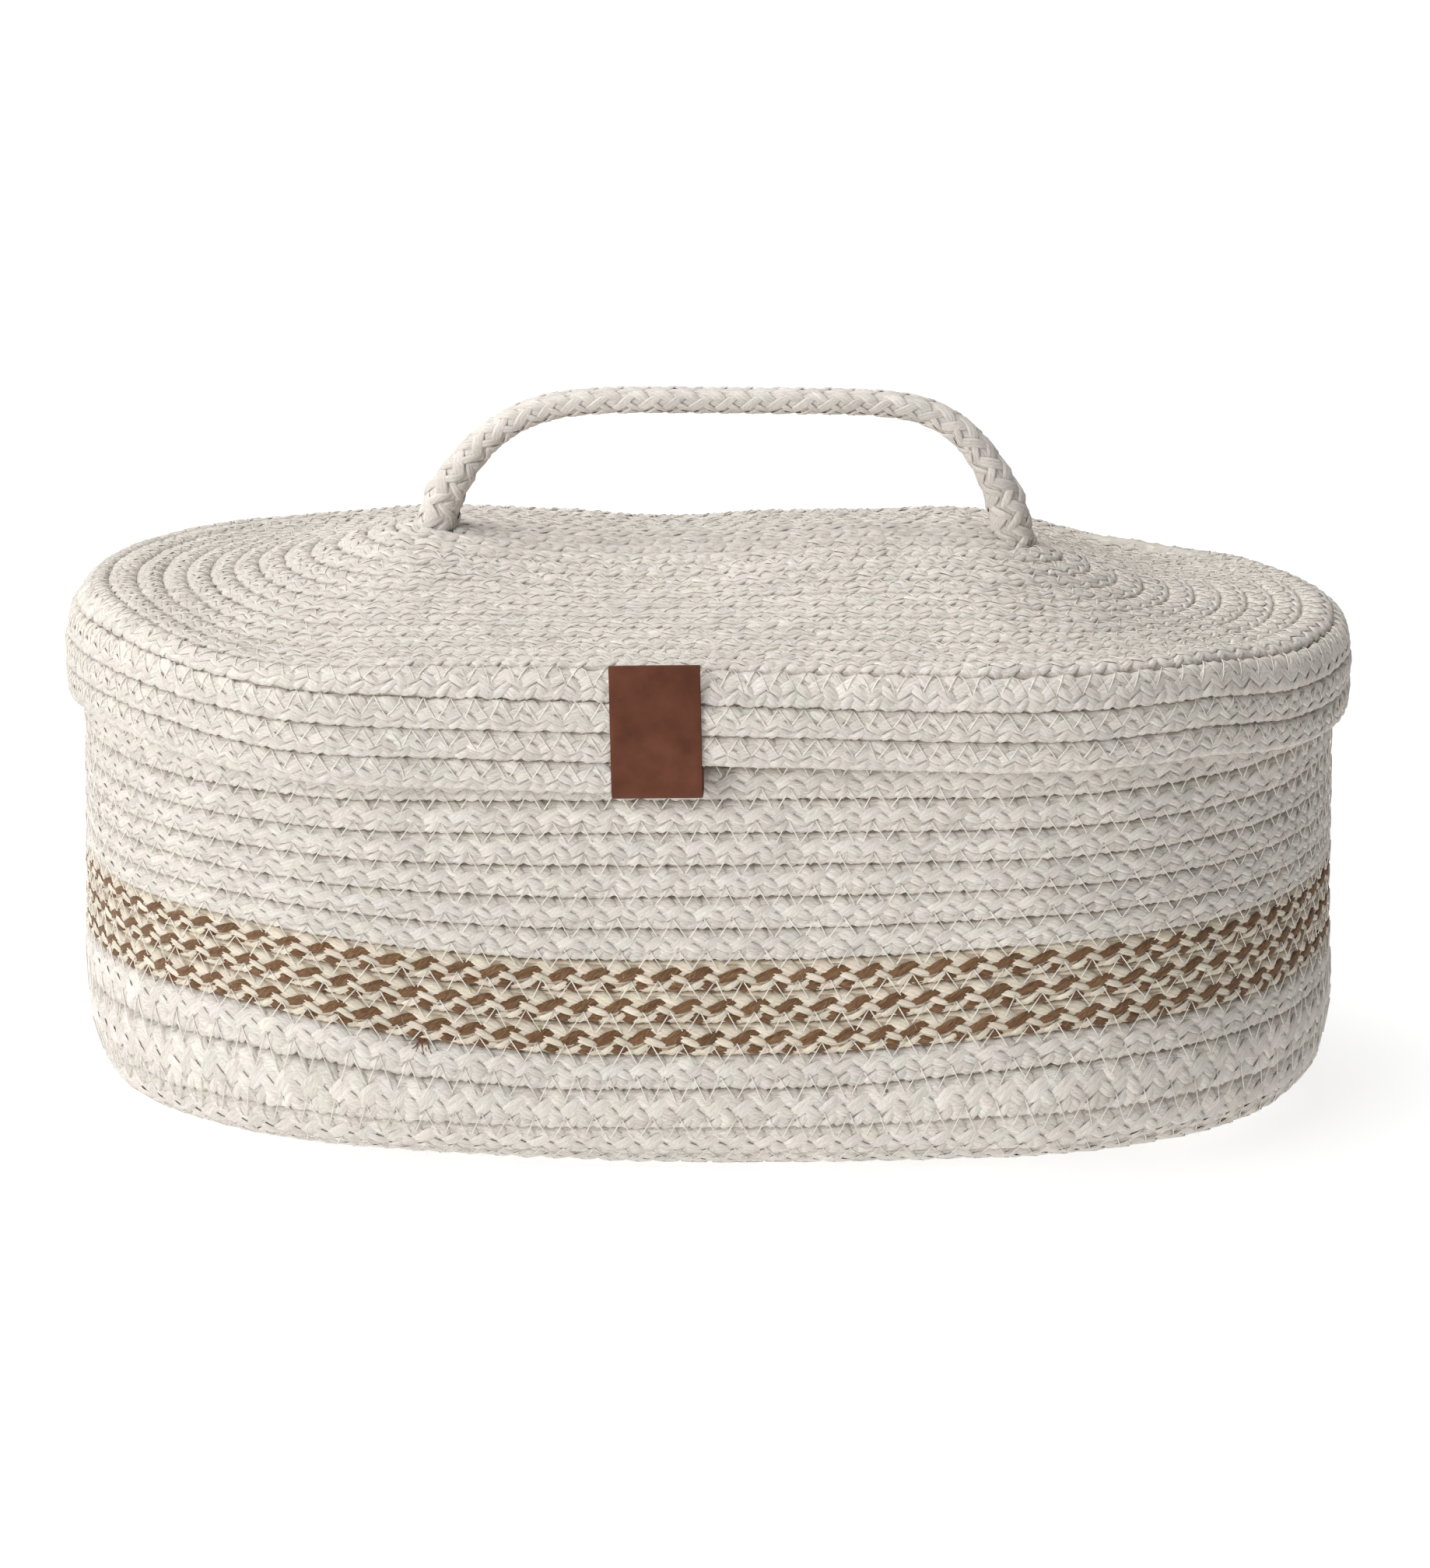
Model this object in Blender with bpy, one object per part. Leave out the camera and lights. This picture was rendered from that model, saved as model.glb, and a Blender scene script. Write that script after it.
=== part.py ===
"""Knitting basket: an oval basket of coiled rope with a lift-off lid and a rope handle.

Metres, +Z up. The origin is at the middle of the base, on the surface it stands on.
+X runs along the basket, and the leather tag is at the front, towards -Y.
"""

import math

import bmesh
import bpy
from mathutils import Vector

# Clearances
GAP = 0.0003
TURN_GAP = 0.0003

# Plan: every coil is wound around one straight core line, so it is a long oval.
# The long sides bow outwards a little.
CORE_HALF_LENGTH = 0.0665
BODY_END_RADIUS = 0.0885
SIDE_BOW_SHARE = 0.02
CORE_CLEARANCE = 0.00015

# Body rope, coiled flat for the base and then upwards for the wall
BODY_PITCH = 0.0081
BODY_ROPE_THICKNESS = 0.0077
BASE_CORNER_RADIUS = 0.02
WALL_LEAN_IN = 0.001
RIM_HEIGHT = 0.1232
BAND_HEIGHT = 0.0312
BAND_TURNS = 3
SPLICE_PLACE_SHARE = 0.65

# Lid rope, coiled from a low ridge out to the edge and then down around the rim
LID_PITCH = 0.00707
LID_ROPE_THICKNESS = 0.0055
LID_RISE = 0.015
LID_CORNER_RADIUS = 0.0065
LID_SKIRT_DEPTH = 0.0288

# Handle: a rope arch that passes through the lid and is knotted below it. The rope is thick
# in the legs, and drawn thin over the crown and between the lid's turns.
HANDLE_NECK_RADIUS = 0.0033
HANDLE_CROWN_RADIUS = 0.0033
HANDLE_LEG_RADIUS = 0.0046
HANDLE_SWELL_POWER = 3.0
HANDLE_RISE = 0.0244
HANDLE_KNOT_RADIUS = 0.0085
HANDLE_KNOT_HEIGHT = 0.013
HANDLE_ARCH_POWER = 5.3
LEFT_FOOT_INSET = 0.0015

# Leather tag, folded around the front of the lid's rim
TAG_WIDTH = 0.0216
TAG_HEIGHT = 0.032
TAG_THICKNESS = 0.0008
TAG_FLAP_HEIGHT = 0.014
TAG_PLACE = -0.0075
TAG_FOLD_RADIUS = 0.0018

# Shares of one turn: front run, right end, rear run, left end
RUN_SHARE = 0.3
END_SHARE = 0.2
START_SHARE = 0.1

# Facets
ROPE_SIDES = 8
RUN_STEPS = 2
END_STEPS = 8
HANDLE_SIDES = 10
HANDLE_STEPS = 26
HANDLE_CAP_STEPS = 3
KNOT_SIDES = 14
KNOT_STEPS = 6
FOLD_STEPS = 4
HOLE_SIDES = 16
DOME_STEPS = 400

# Colours, roughness
CREAM = (0.78, 0.745, 0.69, 1.0)
FLECK = (0.42, 0.31, 0.22, 1.0)
HANDLE_CREAM = (0.76, 0.72, 0.66, 1.0)
LEATHER = (0.16, 0.058, 0.032, 1.0)
COTTON_ROUGHNESS = 0.95
LEATHER_ROUGHNESS = 0.45

# Sizes that follow from the ones above
BODY_LINE_RADIUS = BODY_END_RADIUS - BODY_ROPE_THICKNESS / 2
BASE_FLAT = BODY_LINE_RADIUS - BASE_CORNER_RADIUS
BASE_ARC = BASE_CORNER_RADIUS * math.pi / 2
WALL_FOOT = BODY_ROPE_THICKNESS / 2 + BASE_CORNER_RADIUS
RIM_LINE_HEIGHT = RIM_HEIGHT - (BODY_PITCH - TURN_GAP) / 2
WALL_LEAN = math.asin(WALL_LEAN_IN / (RIM_LINE_HEIGHT - WALL_FOOT))
LID_CLEARANCE = TAG_THICKNESS + 2 * GAP
LID_END_RADIUS = BODY_END_RADIUS + LID_CLEARANCE + LID_ROPE_THICKNESS
LID_LINE_RADIUS = LID_END_RADIUS - LID_ROPE_THICKNESS / 2
LID_EDGE_LINE = RIM_HEIGHT + GAP + LID_ROPE_THICKNESS / 2
LID_DOME = LID_LINE_RADIUS - LID_CORNER_RADIUS
LID_ARC = LID_CORNER_RADIUS * math.pi / 2
LID_RIDGE_TOP = LID_EDGE_LINE + LID_ROPE_THICKNESS / 2 + LID_RISE
HANDLE_AXIS_HEIGHT = LID_RIDGE_TOP + HANDLE_LEG_RADIUS + GAP
HANDLE_HOLE_RADIUS = HANDLE_NECK_RADIUS + GAP
RIGHT_FOOT = CORE_HALF_LENGTH + LID_PITCH
LEFT_FOOT = LEFT_FOOT_INSET - CORE_HALF_LENGTH


def clear_scene():
    for obj in list(bpy.data.objects):
        bpy.data.objects.remove(obj, do_unlink=True)


def material(name, colour, roughness):
    mat = bpy.data.materials.new(name)
    mat.use_nodes = True
    shader = mat.node_tree.nodes["Principled BSDF"]
    shader.inputs["Base Color"].default_value = colour
    shader.inputs["Roughness"].default_value = roughness
    shader.inputs["Metallic"].default_value = 0.0
    mat.diffuse_color = colour
    return mat


def loft(name, rings, mat, origin=(0, 0, 0)):
    """Join rings of points, all with the same number of points, into one capped solid."""
    centre = Vector(origin)
    bm = bmesh.new()
    loops = [[bm.verts.new(Vector(point) - centre) for point in ring] for ring in rings]
    count = len(loops[0])
    for low, high in zip(loops, loops[1:]):
        for i in range(count):
            j = (i + 1) % count
            bm.faces.new((low[i], low[j], high[j], high[i]))
    bm.faces.new(loops[0])
    bm.faces.new(loops[-1])
    bmesh.ops.recalc_face_normals(bm, faces=bm.faces)
    mesh = bpy.data.meshes.new(name)
    bm.to_mesh(mesh)
    bm.free()
    mesh.shade_smooth()
    mesh.set_sharp_from_angle(angle=math.radians(50))
    mesh.materials.append(mat)
    obj = bpy.data.objects.new(name, mesh)
    obj.location = centre
    bpy.context.scene.collection.objects.link(obj)
    return obj


def circle(radius, count):
    """Points round a circle, as pairs."""
    turns = [2 * math.pi * i / count for i in range(count)]
    return [(radius * math.cos(turn), radius * math.sin(turn)) for turn in turns]


def rope_section(width, thickness):
    """The rope's faceted cross-section: pairs of a place along the coil's profile and a depth."""
    points = []
    for i in range(ROPE_SIDES):
        angle = 2 * math.pi * (i + 0.5) / ROPE_SIDES
        reach = 0.5 / math.cos(math.pi / ROPE_SIDES)
        points.append((width * reach * math.cos(angle), thickness * reach * math.sin(angle)))
    return points


def body_profile(along):
    """The body's wall line, from the core outwards and up: distance out, height, outward normal."""
    base_line = BODY_ROPE_THICKNESS / 2
    if along < BASE_FLAT:
        return along, base_line, 0.0, -1.0
    if along < BASE_FLAT + BASE_ARC:
        angle = (along - BASE_FLAT) / BASE_CORNER_RADIUS
        out = BASE_FLAT + BASE_CORNER_RADIUS * math.sin(angle)
        height = base_line + BASE_CORNER_RADIUS * (1 - math.cos(angle))
        return out, height, math.sin(angle), -math.cos(angle)
    up = along - BASE_FLAT - BASE_ARC
    out = BODY_LINE_RADIUS - up * math.sin(WALL_LEAN)
    return out, WALL_FOOT + up * math.cos(WALL_LEAN), math.cos(WALL_LEAN), math.sin(WALL_LEAN)


def dome_height(out):
    """The lid's top line over a distance out from the core: a low ridge that fades to the edge."""
    return LID_EDGE_LINE + LID_RISE * 0.5 * (1 + math.cos(math.pi * max(out, 0.0) / LID_DOME))


def dome_slope(out):
    wave = math.pi / LID_DOME
    return -LID_RISE * 0.5 * wave * math.sin(wave * max(out, 0.0))


def dome_lengths():
    """Length measured along the dome's line at even steps outwards."""
    step = LID_DOME / DOME_STEPS
    lengths = [0.0]
    for i in range(DOME_STEPS):
        lengths.append(lengths[-1] + step * math.hypot(1.0, dome_slope((i + 0.5) * step)))
    return lengths


DOME_LENGTHS = dome_lengths()


def dome_out(along):
    """Distance out from the core at a length measured along the dome's line."""
    if along <= 0:
        return along
    low = 0
    high = DOME_STEPS
    while high - low > 1:
        middle = (low + high) // 2
        if DOME_LENGTHS[middle] <= along:
            low = middle
        else:
            high = middle
    part = (along - DOME_LENGTHS[low]) / (DOME_LENGTHS[high] - DOME_LENGTHS[low])
    return (low + part) * LID_DOME / DOME_STEPS


def lid_profile(along):
    """The lid's line, from the core outwards and down the rim: distance out, height, normal."""
    dome_end = DOME_LENGTHS[-1]
    if along < dome_end:
        out = dome_out(along)
        slope = dome_slope(out)
        size = math.hypot(1.0, slope)
        return out, dome_height(out), -slope / size, 1.0 / size
    if along < dome_end + LID_ARC:
        angle = (along - dome_end) / LID_CORNER_RADIUS
        out = LID_DOME + LID_CORNER_RADIUS * math.sin(angle)
        height = LID_EDGE_LINE - LID_CORNER_RADIUS * (1 - math.cos(angle))
        return out, height, math.sin(angle), math.cos(angle)
    down = along - dome_end - LID_ARC
    return LID_LINE_RADIUS, LID_EDGE_LINE - LID_CORNER_RADIUS - down, 1.0, 0.0


def on_plan(turn, out):
    """The point of the plan at a place in the turn and a distance out from the core line."""
    place = turn % 1.0
    if place < RUN_SHARE:
        x = CORE_HALF_LENGTH * (2 * place / RUN_SHARE - 1)
        y = -out
    elif place < RUN_SHARE + END_SHARE:
        angle = math.pi * ((place - RUN_SHARE) / END_SHARE - 0.5)
        out = max(out, CORE_CLEARANCE)
        x = CORE_HALF_LENGTH + out * math.cos(angle)
        y = out * math.sin(angle)
    elif place < 2 * RUN_SHARE + END_SHARE:
        x = CORE_HALF_LENGTH * (1 - 2 * (place - RUN_SHARE - END_SHARE) / RUN_SHARE)
        y = out
    else:
        angle = math.pi * ((place - 2 * RUN_SHARE - END_SHARE) / END_SHARE + 0.5)
        out = max(out, CORE_CLEARANCE)
        x = -CORE_HALF_LENGTH + out * math.cos(angle)
        y = out * math.sin(angle)
    half = CORE_HALF_LENGTH + abs(out)
    bow = 1 + SIDE_BOW_SHARE * (1 - min(1.0, abs(x) / half) ** 2)
    return x, y * bow


def turn_at_place(x):
    """The share of a turn at which the front run passes a place along the basket."""
    return RUN_SHARE * (x + CORE_HALF_LENGTH) / (2 * CORE_HALF_LENGTH)


def stations(first, last):
    """Places along a coil, in turns, between its two ends."""
    marks = [RUN_SHARE * i / RUN_STEPS for i in range(RUN_STEPS)]
    marks += [RUN_SHARE + END_SHARE * i / END_STEPS for i in range(END_STEPS)]
    marks += [mark + RUN_SHARE + END_SHARE for mark in marks]
    spacing = END_SHARE / END_STEPS
    inner = []
    for whole in range(int(first), int(last) + 1):
        inner += [whole + mark for mark in marks]
    kept = [mark for mark in inner if first + spacing / 4 < mark < last - spacing / 4]
    return [first] + kept + [last]


def coil(name, profile, pitch, thickness, first, last, mat):
    """One rope laid along a spiral from one turn count to another, each turn beside the last."""
    section = rope_section(pitch - TURN_GAP, thickness)
    rings = []
    for turn in stations(first, last):
        middle = pitch * (turn + START_SHARE)
        ring = []
        for side, depth in section:
            out, height, normal_out, normal_up = profile(middle + side)
            x, y = on_plan(turn, out + depth * normal_out)
            ring.append((x, y, height + depth * normal_up))
        rings.append(ring)
    return loft(name, rings, mat)


def body_turn(along):
    return along / BODY_PITCH - START_SHARE


def band_first_turn():
    """The fleck rope starts at the rear, one splice place on from the whole turn at its height."""
    bottom = BASE_FLAT + BASE_ARC + (BAND_HEIGHT - WALL_FOOT) / math.cos(WALL_LEAN)
    front = body_turn(bottom + BODY_PITCH / 2)
    return math.floor(front - RUN_SHARE / 2 + 0.5) - 1 + SPLICE_PLACE_SHARE


def splice_gap():
    """A gap between two rope ends, as a share of a turn along the rear run."""
    return GAP * RUN_SHARE / (2 * CORE_HALF_LENGTH)


def build_body(cream, fleck):
    band_first = band_first_turn()
    band_last = band_first + BAND_TURNS
    rise = RIM_LINE_HEIGHT - WALL_FOOT
    rim_turn = body_turn(BASE_FLAT + BASE_ARC + rise / math.cos(WALL_LEAN))
    ropes = (
        ("base_rope", 0.0, band_first - splice_gap(), cream),
        ("band_rope", band_first, band_last - splice_gap(), fleck),
        ("wall_rope", band_last, rim_turn, cream),
    )
    for name, first, last, mat in ropes:
        coil(name, body_profile, BODY_PITCH, BODY_ROPE_THICKNESS, first, last, mat)


def lid_last_turn():
    """The lid's rope ends behind the tag, on the turn that is nearest to the skirt's depth."""
    skirt = LID_SKIRT_DEPTH - LID_ROPE_THICKNESS / 2 - LID_CORNER_RADIUS
    along = DOME_LENGTHS[-1] + LID_ARC + skirt - (LID_PITCH - TURN_GAP) / 2
    place = turn_at_place(TAG_PLACE)
    return round(along / LID_PITCH - START_SHARE - place) + place


def hole_cutter(name, x):
    """An upright cutter for the hole that the handle passes through."""
    height = 2 * (LID_RISE + LID_ROPE_THICKNESS)
    bm = bmesh.new()
    bmesh.ops.create_cone(
        bm,
        cap_ends=True,
        segments=HOLE_SIDES,
        radius1=HANDLE_HOLE_RADIUS,
        radius2=HANDLE_HOLE_RADIUS,
        depth=height,
    )
    mesh = bpy.data.meshes.new(name)
    bm.to_mesh(mesh)
    bm.free()
    cutter = bpy.data.objects.new(name, mesh)
    cutter.location = (x, 0, LID_RIDGE_TOP)
    cutter.hide_render = True
    cutter.display_type = "WIRE"
    bpy.context.scene.collection.objects.link(cutter)
    return cutter


def build_lid(cream):
    first = turn_at_place(LEFT_FOOT + HANDLE_HOLE_RADIUS + GAP)
    last = lid_last_turn()
    lid = coil("lid_rope", lid_profile, LID_PITCH, LID_ROPE_THICKNESS, first, last, cream)
    for name, x in (("left_hole", LEFT_FOOT), ("right_hole", RIGHT_FOOT)):
        cut = lid.modifiers.new(name, "BOOLEAN")
        cut.operation = "DIFFERENCE"
        cut.object = hole_cutter(name, x)
    return lid


def handle_line():
    """The arch from foot to foot, a flat crown between two leaning legs: points and radii."""
    middle = (LEFT_FOOT + RIGHT_FOOT) / 2
    half = (RIGHT_FOOT - LEFT_FOOT) / 2
    swell = HANDLE_LEG_RADIUS - HANDLE_CROWN_RADIUS
    points = []
    radii = []
    for i in range(HANDLE_STEPS + 1):
        across = math.sin(math.pi * (i / HANDLE_STEPS - 0.5))
        up = 1 - abs(across) ** HANDLE_ARCH_POWER
        points.append(Vector((middle + half * across, 0, HANDLE_AXIS_HEIGHT + HANDLE_RISE * up)))
        radii.append(HANDLE_CROWN_RADIUS + swell * abs(across) ** HANDLE_SWELL_POWER)
    return points, radii


def build_handle(mat):
    """The arch, with round ends so that it can tilt about the line through its feet."""
    points, radii = handle_line()
    frames = []
    for i, point in enumerate(points):
        before = points[max(i - 1, 0)]
        after = points[min(i + 1, len(points) - 1)]
        frames.append((point, (after - before).normalized(), radii[i]))
    caps = []
    for step in range(HANDLE_CAP_STEPS):
        angle = math.pi / 2 * (step + 0.5) / HANDLE_CAP_STEPS
        caps.append((HANDLE_LEG_RADIUS * math.cos(angle), HANDLE_LEG_RADIUS * math.sin(angle)))
    start = frames[0][1]
    end = frames[-1][1]
    first = [(points[0] - back * start, start, radius) for back, radius in caps]
    last = [(points[-1] + back * end, end, radius) for back, radius in caps]
    rings = []
    for point, along, radius in first + frames + last[::-1]:
        side = Vector((0, 1, 0))
        up = along.cross(side)
        rings.append([point + a * side + b * up for a, b in circle(radius, HANDLE_SIDES)])
    origin = ((LEFT_FOOT + RIGHT_FOOT) / 2, 0, HANDLE_AXIS_HEIGHT)
    return loft("handle_rope", rings, mat, origin)


def build_handle_end(name, x, mat):
    """The rope's end below the arch: a neck through the lid and a stopper knot under it."""
    out = abs(x) - CORE_HALF_LENGTH + HANDLE_KNOT_RADIUS
    knot_top = dome_height(out) - LID_ROPE_THICKNESS / 2 - GAP
    knot_middle = knot_top - HANDLE_KNOT_HEIGHT / 2
    levels = []
    for step in range(KNOT_STEPS + 1):
        angle = math.pi * (step / KNOT_STEPS - 0.5)
        bulge = HANDLE_KNOT_RADIUS - HANDLE_NECK_RADIUS
        radius = HANDLE_NECK_RADIUS + bulge * math.cos(angle)
        levels.append((knot_middle + HANDLE_KNOT_HEIGHT / 2 * math.sin(angle), radius))
    levels.append((LID_RIDGE_TOP, HANDLE_NECK_RADIUS))
    rings = []
    for height, radius in levels:
        rings.append([(x + a, b, height) for a, b in circle(radius, KNOT_SIDES)])
    return loft(name, rings, mat)


def tag_line(front, rear, low, top, flap_top):
    """Points (y, z) and their normals along the leather, down the front and up behind the rim."""
    radius = TAG_FOLD_RADIUS
    points = [(front, top, -1.0, 0.0)]
    for step in range(FOLD_STEPS + 1):
        angle = math.pi / 2 * step / FOLD_STEPS
        y = front + radius * (1 - math.cos(angle))
        z = low + radius * (1 - math.sin(angle))
        points.append((y, z, -math.cos(angle), -math.sin(angle)))
    for step in range(FOLD_STEPS + 1):
        angle = math.pi / 2 * step / FOLD_STEPS
        y = rear - radius * (1 - math.sin(angle))
        z = low + radius * (1 - math.cos(angle))
        points.append((y, z, math.sin(angle), -math.cos(angle)))
    points.append((rear, flap_top, 1.0, 0.0))
    return points


def build_tag(mat):
    half = TAG_THICKNESS / 2
    bow = 1 + SIDE_BOW_SHARE
    far = (abs(TAG_PLACE) + TAG_WIDTH / 2) / (CORE_HALF_LENGTH + LID_END_RADIUS)
    inner_bow = 1 + SIDE_BOW_SHARE * (1 - far ** 2)
    front = -(LID_END_RADIUS * bow + GAP + half)
    rear = -((LID_END_RADIUS - LID_ROPE_THICKNESS) * inner_bow - GAP - half)
    last_line = lid_profile(LID_PITCH * (lid_last_turn() + START_SHARE))[1]
    low = last_line - (LID_PITCH - TURN_GAP) / 2 - GAP - half
    line = tag_line(front, rear, low, low - half + TAG_HEIGHT, low - half + TAG_FLAP_HEIGHT)
    left = TAG_PLACE - TAG_WIDTH / 2
    right = TAG_PLACE + TAG_WIDTH / 2
    rings = []
    for y, z, normal_y, normal_z in line:
        outer = (y + half * normal_y, z + half * normal_z)
        inner = (y - half * normal_y, z - half * normal_z)
        rings.append([(left, *outer), (right, *outer), (right, *inner), (left, *inner)])
    return loft("leather_tag", rings, mat)


def main():
    clear_scene()
    cream = material("cream_cotton", CREAM, COTTON_ROUGHNESS)
    fleck = material("fleck_cotton", FLECK, COTTON_ROUGHNESS)
    handle_cotton = material("handle_cotton", HANDLE_CREAM, COTTON_ROUGHNESS)
    leather = material("tag_leather", LEATHER, LEATHER_ROUGHNESS)
    build_body(cream, fleck)
    lid = build_lid(cream)
    tag = build_tag(leather)
    handle = build_handle(handle_cotton)
    left = build_handle_end("left_handle_end", LEFT_FOOT, handle_cotton)
    right = build_handle_end("right_handle_end", RIGHT_FOOT, handle_cotton)
    for piece in (tag, handle, left, right):
        piece.parent = lid


main()
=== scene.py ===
"""Knitting basket: braided ropes, sewing thread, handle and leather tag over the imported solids."""

import math
from collections import namedtuple

import bpy
import numpy as np
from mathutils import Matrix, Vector


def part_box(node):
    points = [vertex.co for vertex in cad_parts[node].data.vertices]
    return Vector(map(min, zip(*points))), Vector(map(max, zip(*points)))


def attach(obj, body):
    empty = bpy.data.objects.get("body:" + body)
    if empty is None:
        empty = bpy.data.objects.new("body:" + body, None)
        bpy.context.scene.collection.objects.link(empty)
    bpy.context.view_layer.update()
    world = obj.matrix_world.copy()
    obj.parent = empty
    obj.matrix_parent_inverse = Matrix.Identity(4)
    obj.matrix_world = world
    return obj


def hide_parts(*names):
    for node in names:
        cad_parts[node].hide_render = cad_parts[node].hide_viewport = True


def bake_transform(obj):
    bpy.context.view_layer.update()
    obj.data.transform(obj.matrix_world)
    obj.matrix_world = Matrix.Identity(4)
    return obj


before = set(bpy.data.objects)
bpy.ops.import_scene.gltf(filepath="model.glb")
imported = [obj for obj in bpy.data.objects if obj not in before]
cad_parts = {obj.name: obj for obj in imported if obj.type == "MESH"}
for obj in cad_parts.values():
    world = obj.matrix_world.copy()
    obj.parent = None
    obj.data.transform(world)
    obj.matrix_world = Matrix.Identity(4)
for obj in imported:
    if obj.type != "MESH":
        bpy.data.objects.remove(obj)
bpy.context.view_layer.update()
rng = np.random.default_rng(11)

MM = 0.001
PI = math.pi
TINY = 1e-9

# The oval plan and the wall's profile, as the solids have them
GAP = 0.0003
CORE = 0.0665
END_RADIUS = 0.0885
BOW_SHARE = 0.02
CORE_CLEARANCE = 0.00015
BODY_PITCH = 0.0081
BODY_THICK = 0.0077
CORNER = 0.02
LEAN_IN = 0.001
RIM_HEIGHT = 0.1232
LINE_RADIUS = END_RADIUS - BODY_THICK / 2
BASE_FLAT = LINE_RADIUS - CORNER
BASE_ARC = CORNER * PI / 2
WALL_FOOT = BODY_THICK / 2 + CORNER
RIM_LINE = RIM_HEIGHT - (BODY_PITCH - GAP) / 2
LEAN = math.asin(LEAN_IN / (RIM_LINE - WALL_FOOT))

# The lid's profile
LID_PITCH = 0.00707
LID_THICK = 0.0055
LID_RISE = 0.015
LID_CORNER = 0.0065
LID_CLEARANCE = 0.0014
LID_LINE = END_RADIUS + LID_CLEARANCE + LID_THICK / 2
LID_EDGE = RIM_HEIGHT + GAP + LID_THICK / 2
LID_DOME = LID_LINE - LID_CORNER
LID_ARC = LID_CORNER * PI / 2
RIDGE_TOP = LID_EDGE + LID_THICK / 2 + LID_RISE

# The handle's feet and its axis, and the tag's place along the front
FOOT_INSET = 0.0015
HANDLE_LEG = 0.0046
HANDLE_RISE = 0.0244
LEFT_FOOT = FOOT_INSET - CORE
RIGHT_FOOT = CORE + LID_PITCH
AXIS_HEIGHT = RIDGE_TOP + HANDLE_LEG + GAP
TAG_PLACE = -0.0075

# Shares of a turn: each straight run, each round end, and the coil's start
RUN_SHARE = 0.3
END_SHARE = 0.2
START_SHARE = 0.1


def front_turn(turn, x):
    """Where a turn's front run passes x, in turns."""
    return turn + RUN_SHARE * (x + CORE) / (2 * CORE)


# The turns where a rope starts or ends, and where its braid is split into pieces
BAND_FIRST = 12.65
BAND_LAST = 15.65
RIM_TURN = 23.54
LID_START_INSET = 0.0024
LID_TURNS = 16
LID_FIRST = front_turn(0, LEFT_FOOT + LID_START_INSET)
LID_LAST = front_turn(LID_TURNS, TAG_PLACE)
BASE_SPLIT = 8.0
WALL_SPLIT = 19.5
RIDGE_SPLIT = 7.5
TOP_SPLIT = 12.0
LINING_SPLIT = 10.0


def distances(points):
    """How far along a line each of its points is."""
    steps = np.linalg.norm(np.diff(points, axis=0), axis=1)
    return np.concatenate([[0], np.cumsum(steps)])


def body_profile(s):
    """The basket's profile at a length s from the core line: place out, height and outer side."""
    angle = np.clip((s - BASE_FLAT) / CORNER, 0, PI / 2)
    up = np.maximum(s - BASE_FLAT - BASE_ARC, 0)
    out = np.minimum(s, BASE_FLAT) + CORNER * np.sin(angle) - up * math.sin(LEAN)
    height = BODY_THICK / 2 + CORNER * (1 - np.cos(angle)) + up * math.cos(LEAN)
    return out, height, np.sin(angle), -np.cos(angle)


def dome_height(out):
    return LID_EDGE + LID_RISE * 0.5 * (1 + np.cos(PI * out / LID_DOME))


DOME_STEPS = 400
DOME_OUT = np.linspace(0, LID_DOME, DOME_STEPS + 1)
DOME_LENGTH = distances(np.stack([DOME_OUT, dome_height(DOME_OUT)], -1))


def lid_profile(s):
    """The lid's profile at a length s from the core line: dome, rounded corner and skirt."""
    over = s - DOME_LENGTH[-1]
    angle = np.clip(over / LID_CORNER, 0, PI / 2)
    down = np.maximum(over - LID_ARC, 0)
    out = np.where(s > 0, np.interp(s, DOME_LENGTH, DOME_OUT), s)
    on_dome = np.clip(out, 0, LID_DOME)
    wave = PI / LID_DOME
    slope = -LID_RISE * 0.5 * wave * np.sin(wave * on_dome)
    steep = np.hypot(1, slope)
    height = dome_height(on_dome) - LID_CORNER * (1 - np.cos(angle)) - down
    out = out + LID_CORNER * np.sin(angle)
    edge = over > 0
    normal_out = np.where(edge, np.sin(angle), -slope / steep)
    return out, height, normal_out, np.where(edge, np.cos(angle), 1 / steep)


def plan(turn, out):
    """The place on the plan of a turn's share, at a distance out from the core line."""
    place = np.mod(turn, 1.0)
    turn_right = PI * ((place - RUN_SHARE) / END_SHARE - 0.5)
    turn_left = PI * ((place - 2 * RUN_SHARE - END_SHARE) / END_SHARE + 0.5)
    held = np.maximum(out, CORE_CLEARANCE)
    cases = [place < RUN_SHARE, place < RUN_SHARE + END_SHARE, place < 2 * RUN_SHARE + END_SHARE]
    x = np.select(
        cases,
        [
            CORE * (2 * place / RUN_SHARE - 1),
            CORE + held * np.cos(turn_right),
            CORE * (1 - 2 * (place - RUN_SHARE - END_SHARE) / RUN_SHARE),
        ],
        -CORE + held * np.cos(turn_left),
    )
    y = np.select(cases, [-out, held * np.sin(turn_right), out], held * np.sin(turn_left))
    bow = 1 + BOW_SHARE * (1 - np.minimum(1, np.abs(x) / (CORE + np.abs(out))) ** 2)
    return x, y * bow


def ease(value, low, high):
    """From 0 at low to 1 at high, smooth at both."""
    share = np.clip((value - low) / (high - low), 0, 1)
    return share * share * (3 - 2 * share)


def ramp(value, height, low, high):
    """A smooth rise to a height between two places along one axis."""
    return height * ease(value, low, high)


def hill(value, height, centre, reach):
    """A soft hill around a place along one axis."""
    return height * np.exp(-0.5 * ((value - centre) / reach) ** 2)


def unit(vectors, floor=0.0):
    """The same directions, each of length 1."""
    return vectors / (np.linalg.norm(vectors, axis=-1)[..., None] + floor)


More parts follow.
